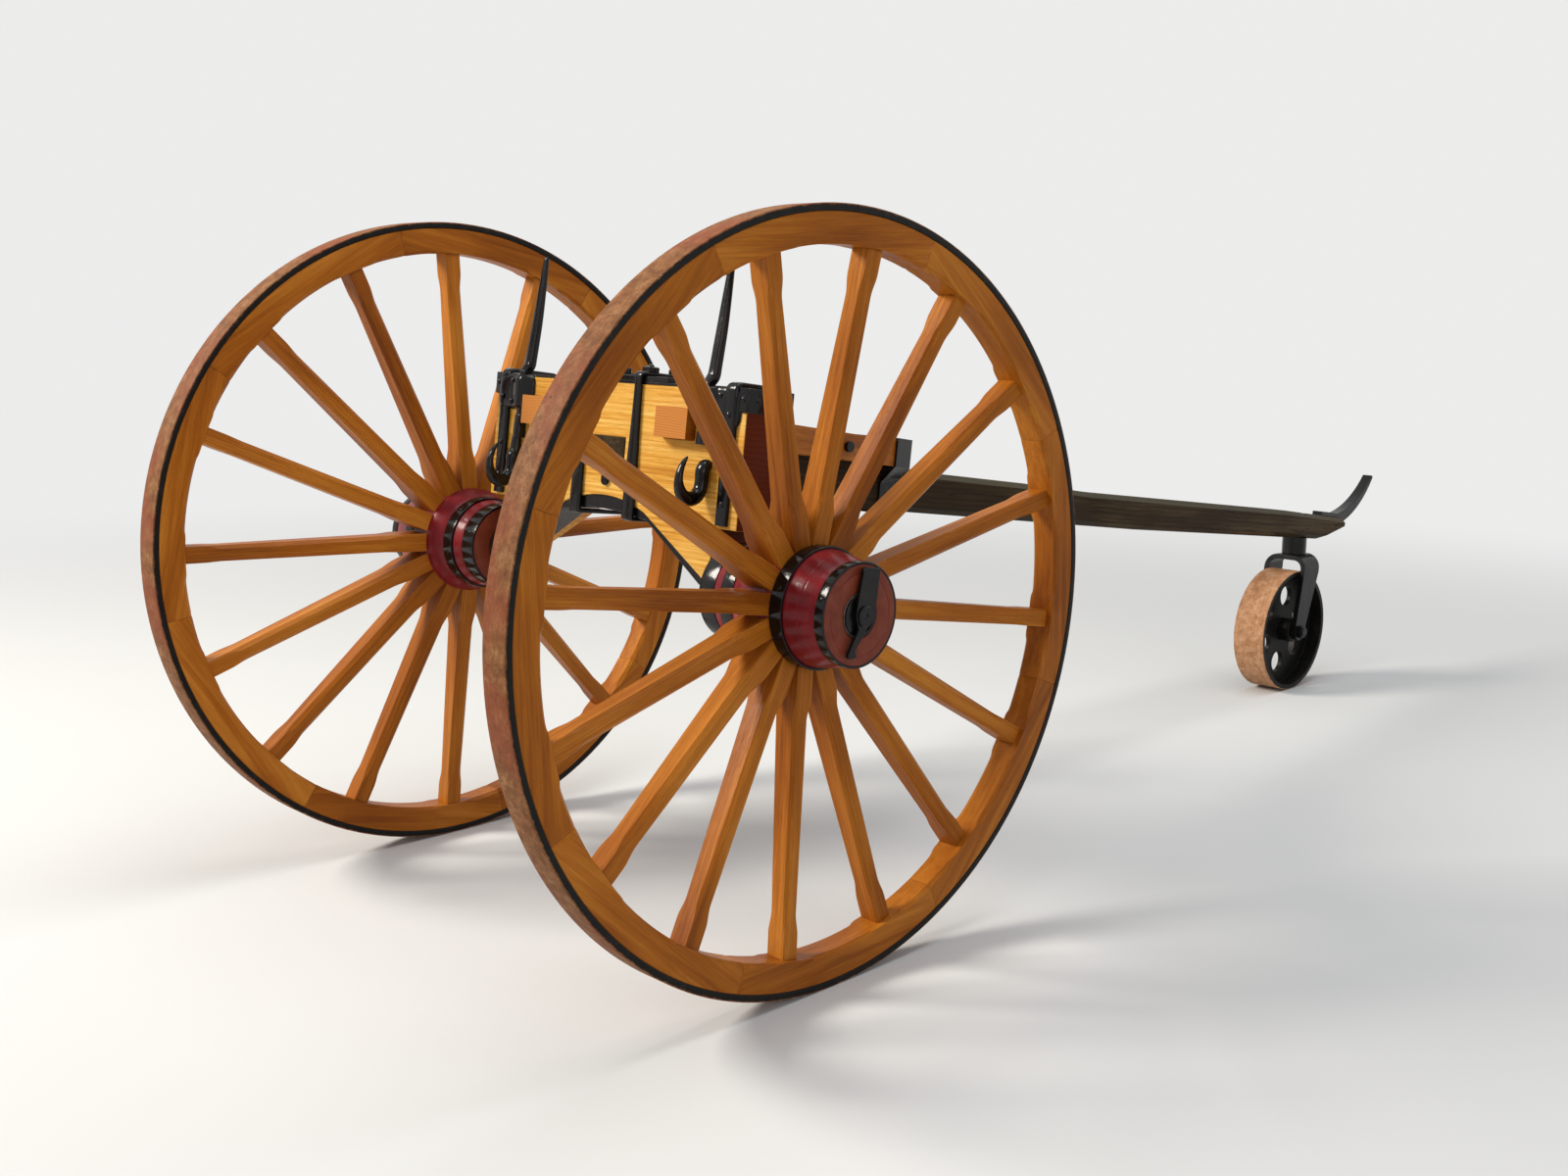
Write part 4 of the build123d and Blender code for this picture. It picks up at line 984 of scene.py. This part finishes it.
# Studs on the strap nuts
made = Heap()
for _, hand in SIDES:
    for p in NUT_PLACES:
        at = frame_at(on_carriage(p, hand * POLE_STRAP_OUT, STUD_SEAT), FORWARD, UPWARD)
        made.add(*dome(**STUD), at)
made.make("strap_studs", "carriage", black, "black_iron")

# Rivets of the end irons, on the rear face and on the block's end: p is the surface that carries them
KEEPER_FACE = {"near": -58.4, "far": -63.8}
STRAP_FACE, CAP_REAR_FACE = -59.8, -53.8
RIVET = {"radius": 8, "height": 5}
CAP_RIVET = {"radius": 6.5, "height": 3.5}
CAP_RIVET_HEIGHT = 470
made = Heap()
for wheel, hand in SIDES:
    face = KEEPER_FACE[wheel]
    for p, y, q in (
        (face - 4, END_STRAP_OUT, 430), (STRAP_FACE, END_STRAP_OUT, 300), (STRAP_FACE, END_STRAP_OUT, 210),
        (CAP_REAR_FACE, 515, CAP_RIVET_HEIGHT), (face, 436, 476), (face, 436, 418),
    ):
        made.add(*dome(**RIVET), frame_at(on_carriage(p, hand * y, q), SIDE, -FORWARD))
    for p in (-20, 27, 78):
        at = frame_at(on_carriage(p, hand * CAP_FACE, CAP_RIVET_HEIGHT), FORWARD, SIDE * hand)
        made.add(*dome(**CAP_RIVET), at)
made.make("iron_rivets", "carriage", black, "black_iron")

# Studio. Its lengths are in metres.
BACKGROUND = (0.84, 0.84, 0.835)
FLOOR_TINTS = ((0.66, 0.675, 0.68), (0.68, 0.695, 0.7))
FLOOR_HALF, FLOOR_LEVEL = 60, -0.0005
FADE_START, FADE_END = 3.2, 9.5


def studio_floor():
    """Pale floor that runs into the background's colour far from the object."""
    s = Shader("studio_floor")
    cloud = s.noise(s.place(), 1.4, 3)
    s.finish(s.blend(cloud, *FLOOR_TINTS), s.span(cloud, 0.85, 0.95))
    far = s.step(s.vector("LENGTH", s.place()), FADE_START, FADE_END)
    glow = s.node("ShaderNodeEmission", {"Color": (*BACKGROUND, 1)})
    share = s.times(far, s.seen())
    mixed = s.node("ShaderNodeMixShader", {0: share, 1: s.surface.outputs[0], 2: glow.outputs[0]})
    s.tree.links.new(mixed.outputs[0], s.output.inputs[0])
    return s.material


corners = [(x * FLOOR_HALF, y * FLOOR_HALF, 0) for x, y in ((-1, -1), (1, -1), (1, 1), (-1, 1))]
mesh = bpy.data.meshes.new("floor")
mesh.from_pydata(corners, [], [(0, 1, 2, 3)])
mesh.materials.append(studio_floor())
floor = bpy.data.objects.new("floor", mesh)
floor.location.z = FLOOR_LEVEL
bpy.context.scene.collection.objects.link(floor)

sky = Shader("studio", "worlds")
light = sky.node("ShaderNodeBackground", {"Color": (0.95, 0.97, 1.0, 1), "Strength": 0.32})
backdrop = sky.node("ShaderNodeBackground", {"Color": (*BACKGROUND, 1), "Strength": 1.0})
mixed = sky.node("ShaderNodeMixShader", {0: sky.seen(), 1: light.outputs[0], 2: backdrop.outputs[0]})
sky.tree.links.new(mixed.outputs[0], sky.output.inputs[0])
bpy.context.scene.world = sky.material

# name, place, target, width, height, watts, colour
LAMPS = (
    ("key", (-7.0, 6.8, 8.1), (0.6, 0, 0.7), 3.8, 3.8, 1650, (1.0, 0.93, 0.83)),
    ("top", (1.2, -0.8, 6.0), (1.2, 0, 0.5), 6.0, 3.0, 190, (1.0, 0.98, 0.96)),
    ("front", (-1.2, -6.4, 2.6), (0.6, 0, 0.8), 3.4, 1.8, 58, (0.97, 0.98, 1.0)),
)
for name, place, target, width, height, watts, colour in LAMPS:
    lamp = bpy.data.lights.new(name, "AREA")
    lamp.shape = "RECTANGLE"
    lamp.size = width
    lamp.size_y = height
    lamp.energy = watts
    lamp.color = colour
    holder = bpy.data.objects.new(name, lamp)
    holder.location = place
    holder.rotation_mode = "QUATERNION"
    holder.rotation_quaternion = (Vector(target) - Vector(place)).to_track_quat("-Z", "Y")
    bpy.context.scene.collection.objects.link(holder)

# Camera at the photograph's place: 44.11 degrees from the axle's direction, 10.3 degrees down
CAMERA_PLACE = (-2.6838, -3.4326, 1.6538)
CAMERA_RIGHT = Vector((0.71856411, -0.69544602, 0.00452186))
CAMERA_UP = Vector((0.12072843, 0.13113966, 0.98398528))
camera_data = bpy.data.cameras.new("camera")
camera_data.sensor_width = 36
camera_data.lens = 37.537
camera = bpy.data.objects.new("camera", camera_data)
camera.matrix_world = Matrix((CAMERA_RIGHT, CAMERA_UP, CAMERA_RIGHT.cross(CAMERA_UP))).transposed().to_4x4()
camera.location = CAMERA_PLACE
bpy.context.scene.collection.objects.link(camera)
bpy.context.scene.camera = camera
bpy.context.scene.view_settings.view_transform = "Standard"
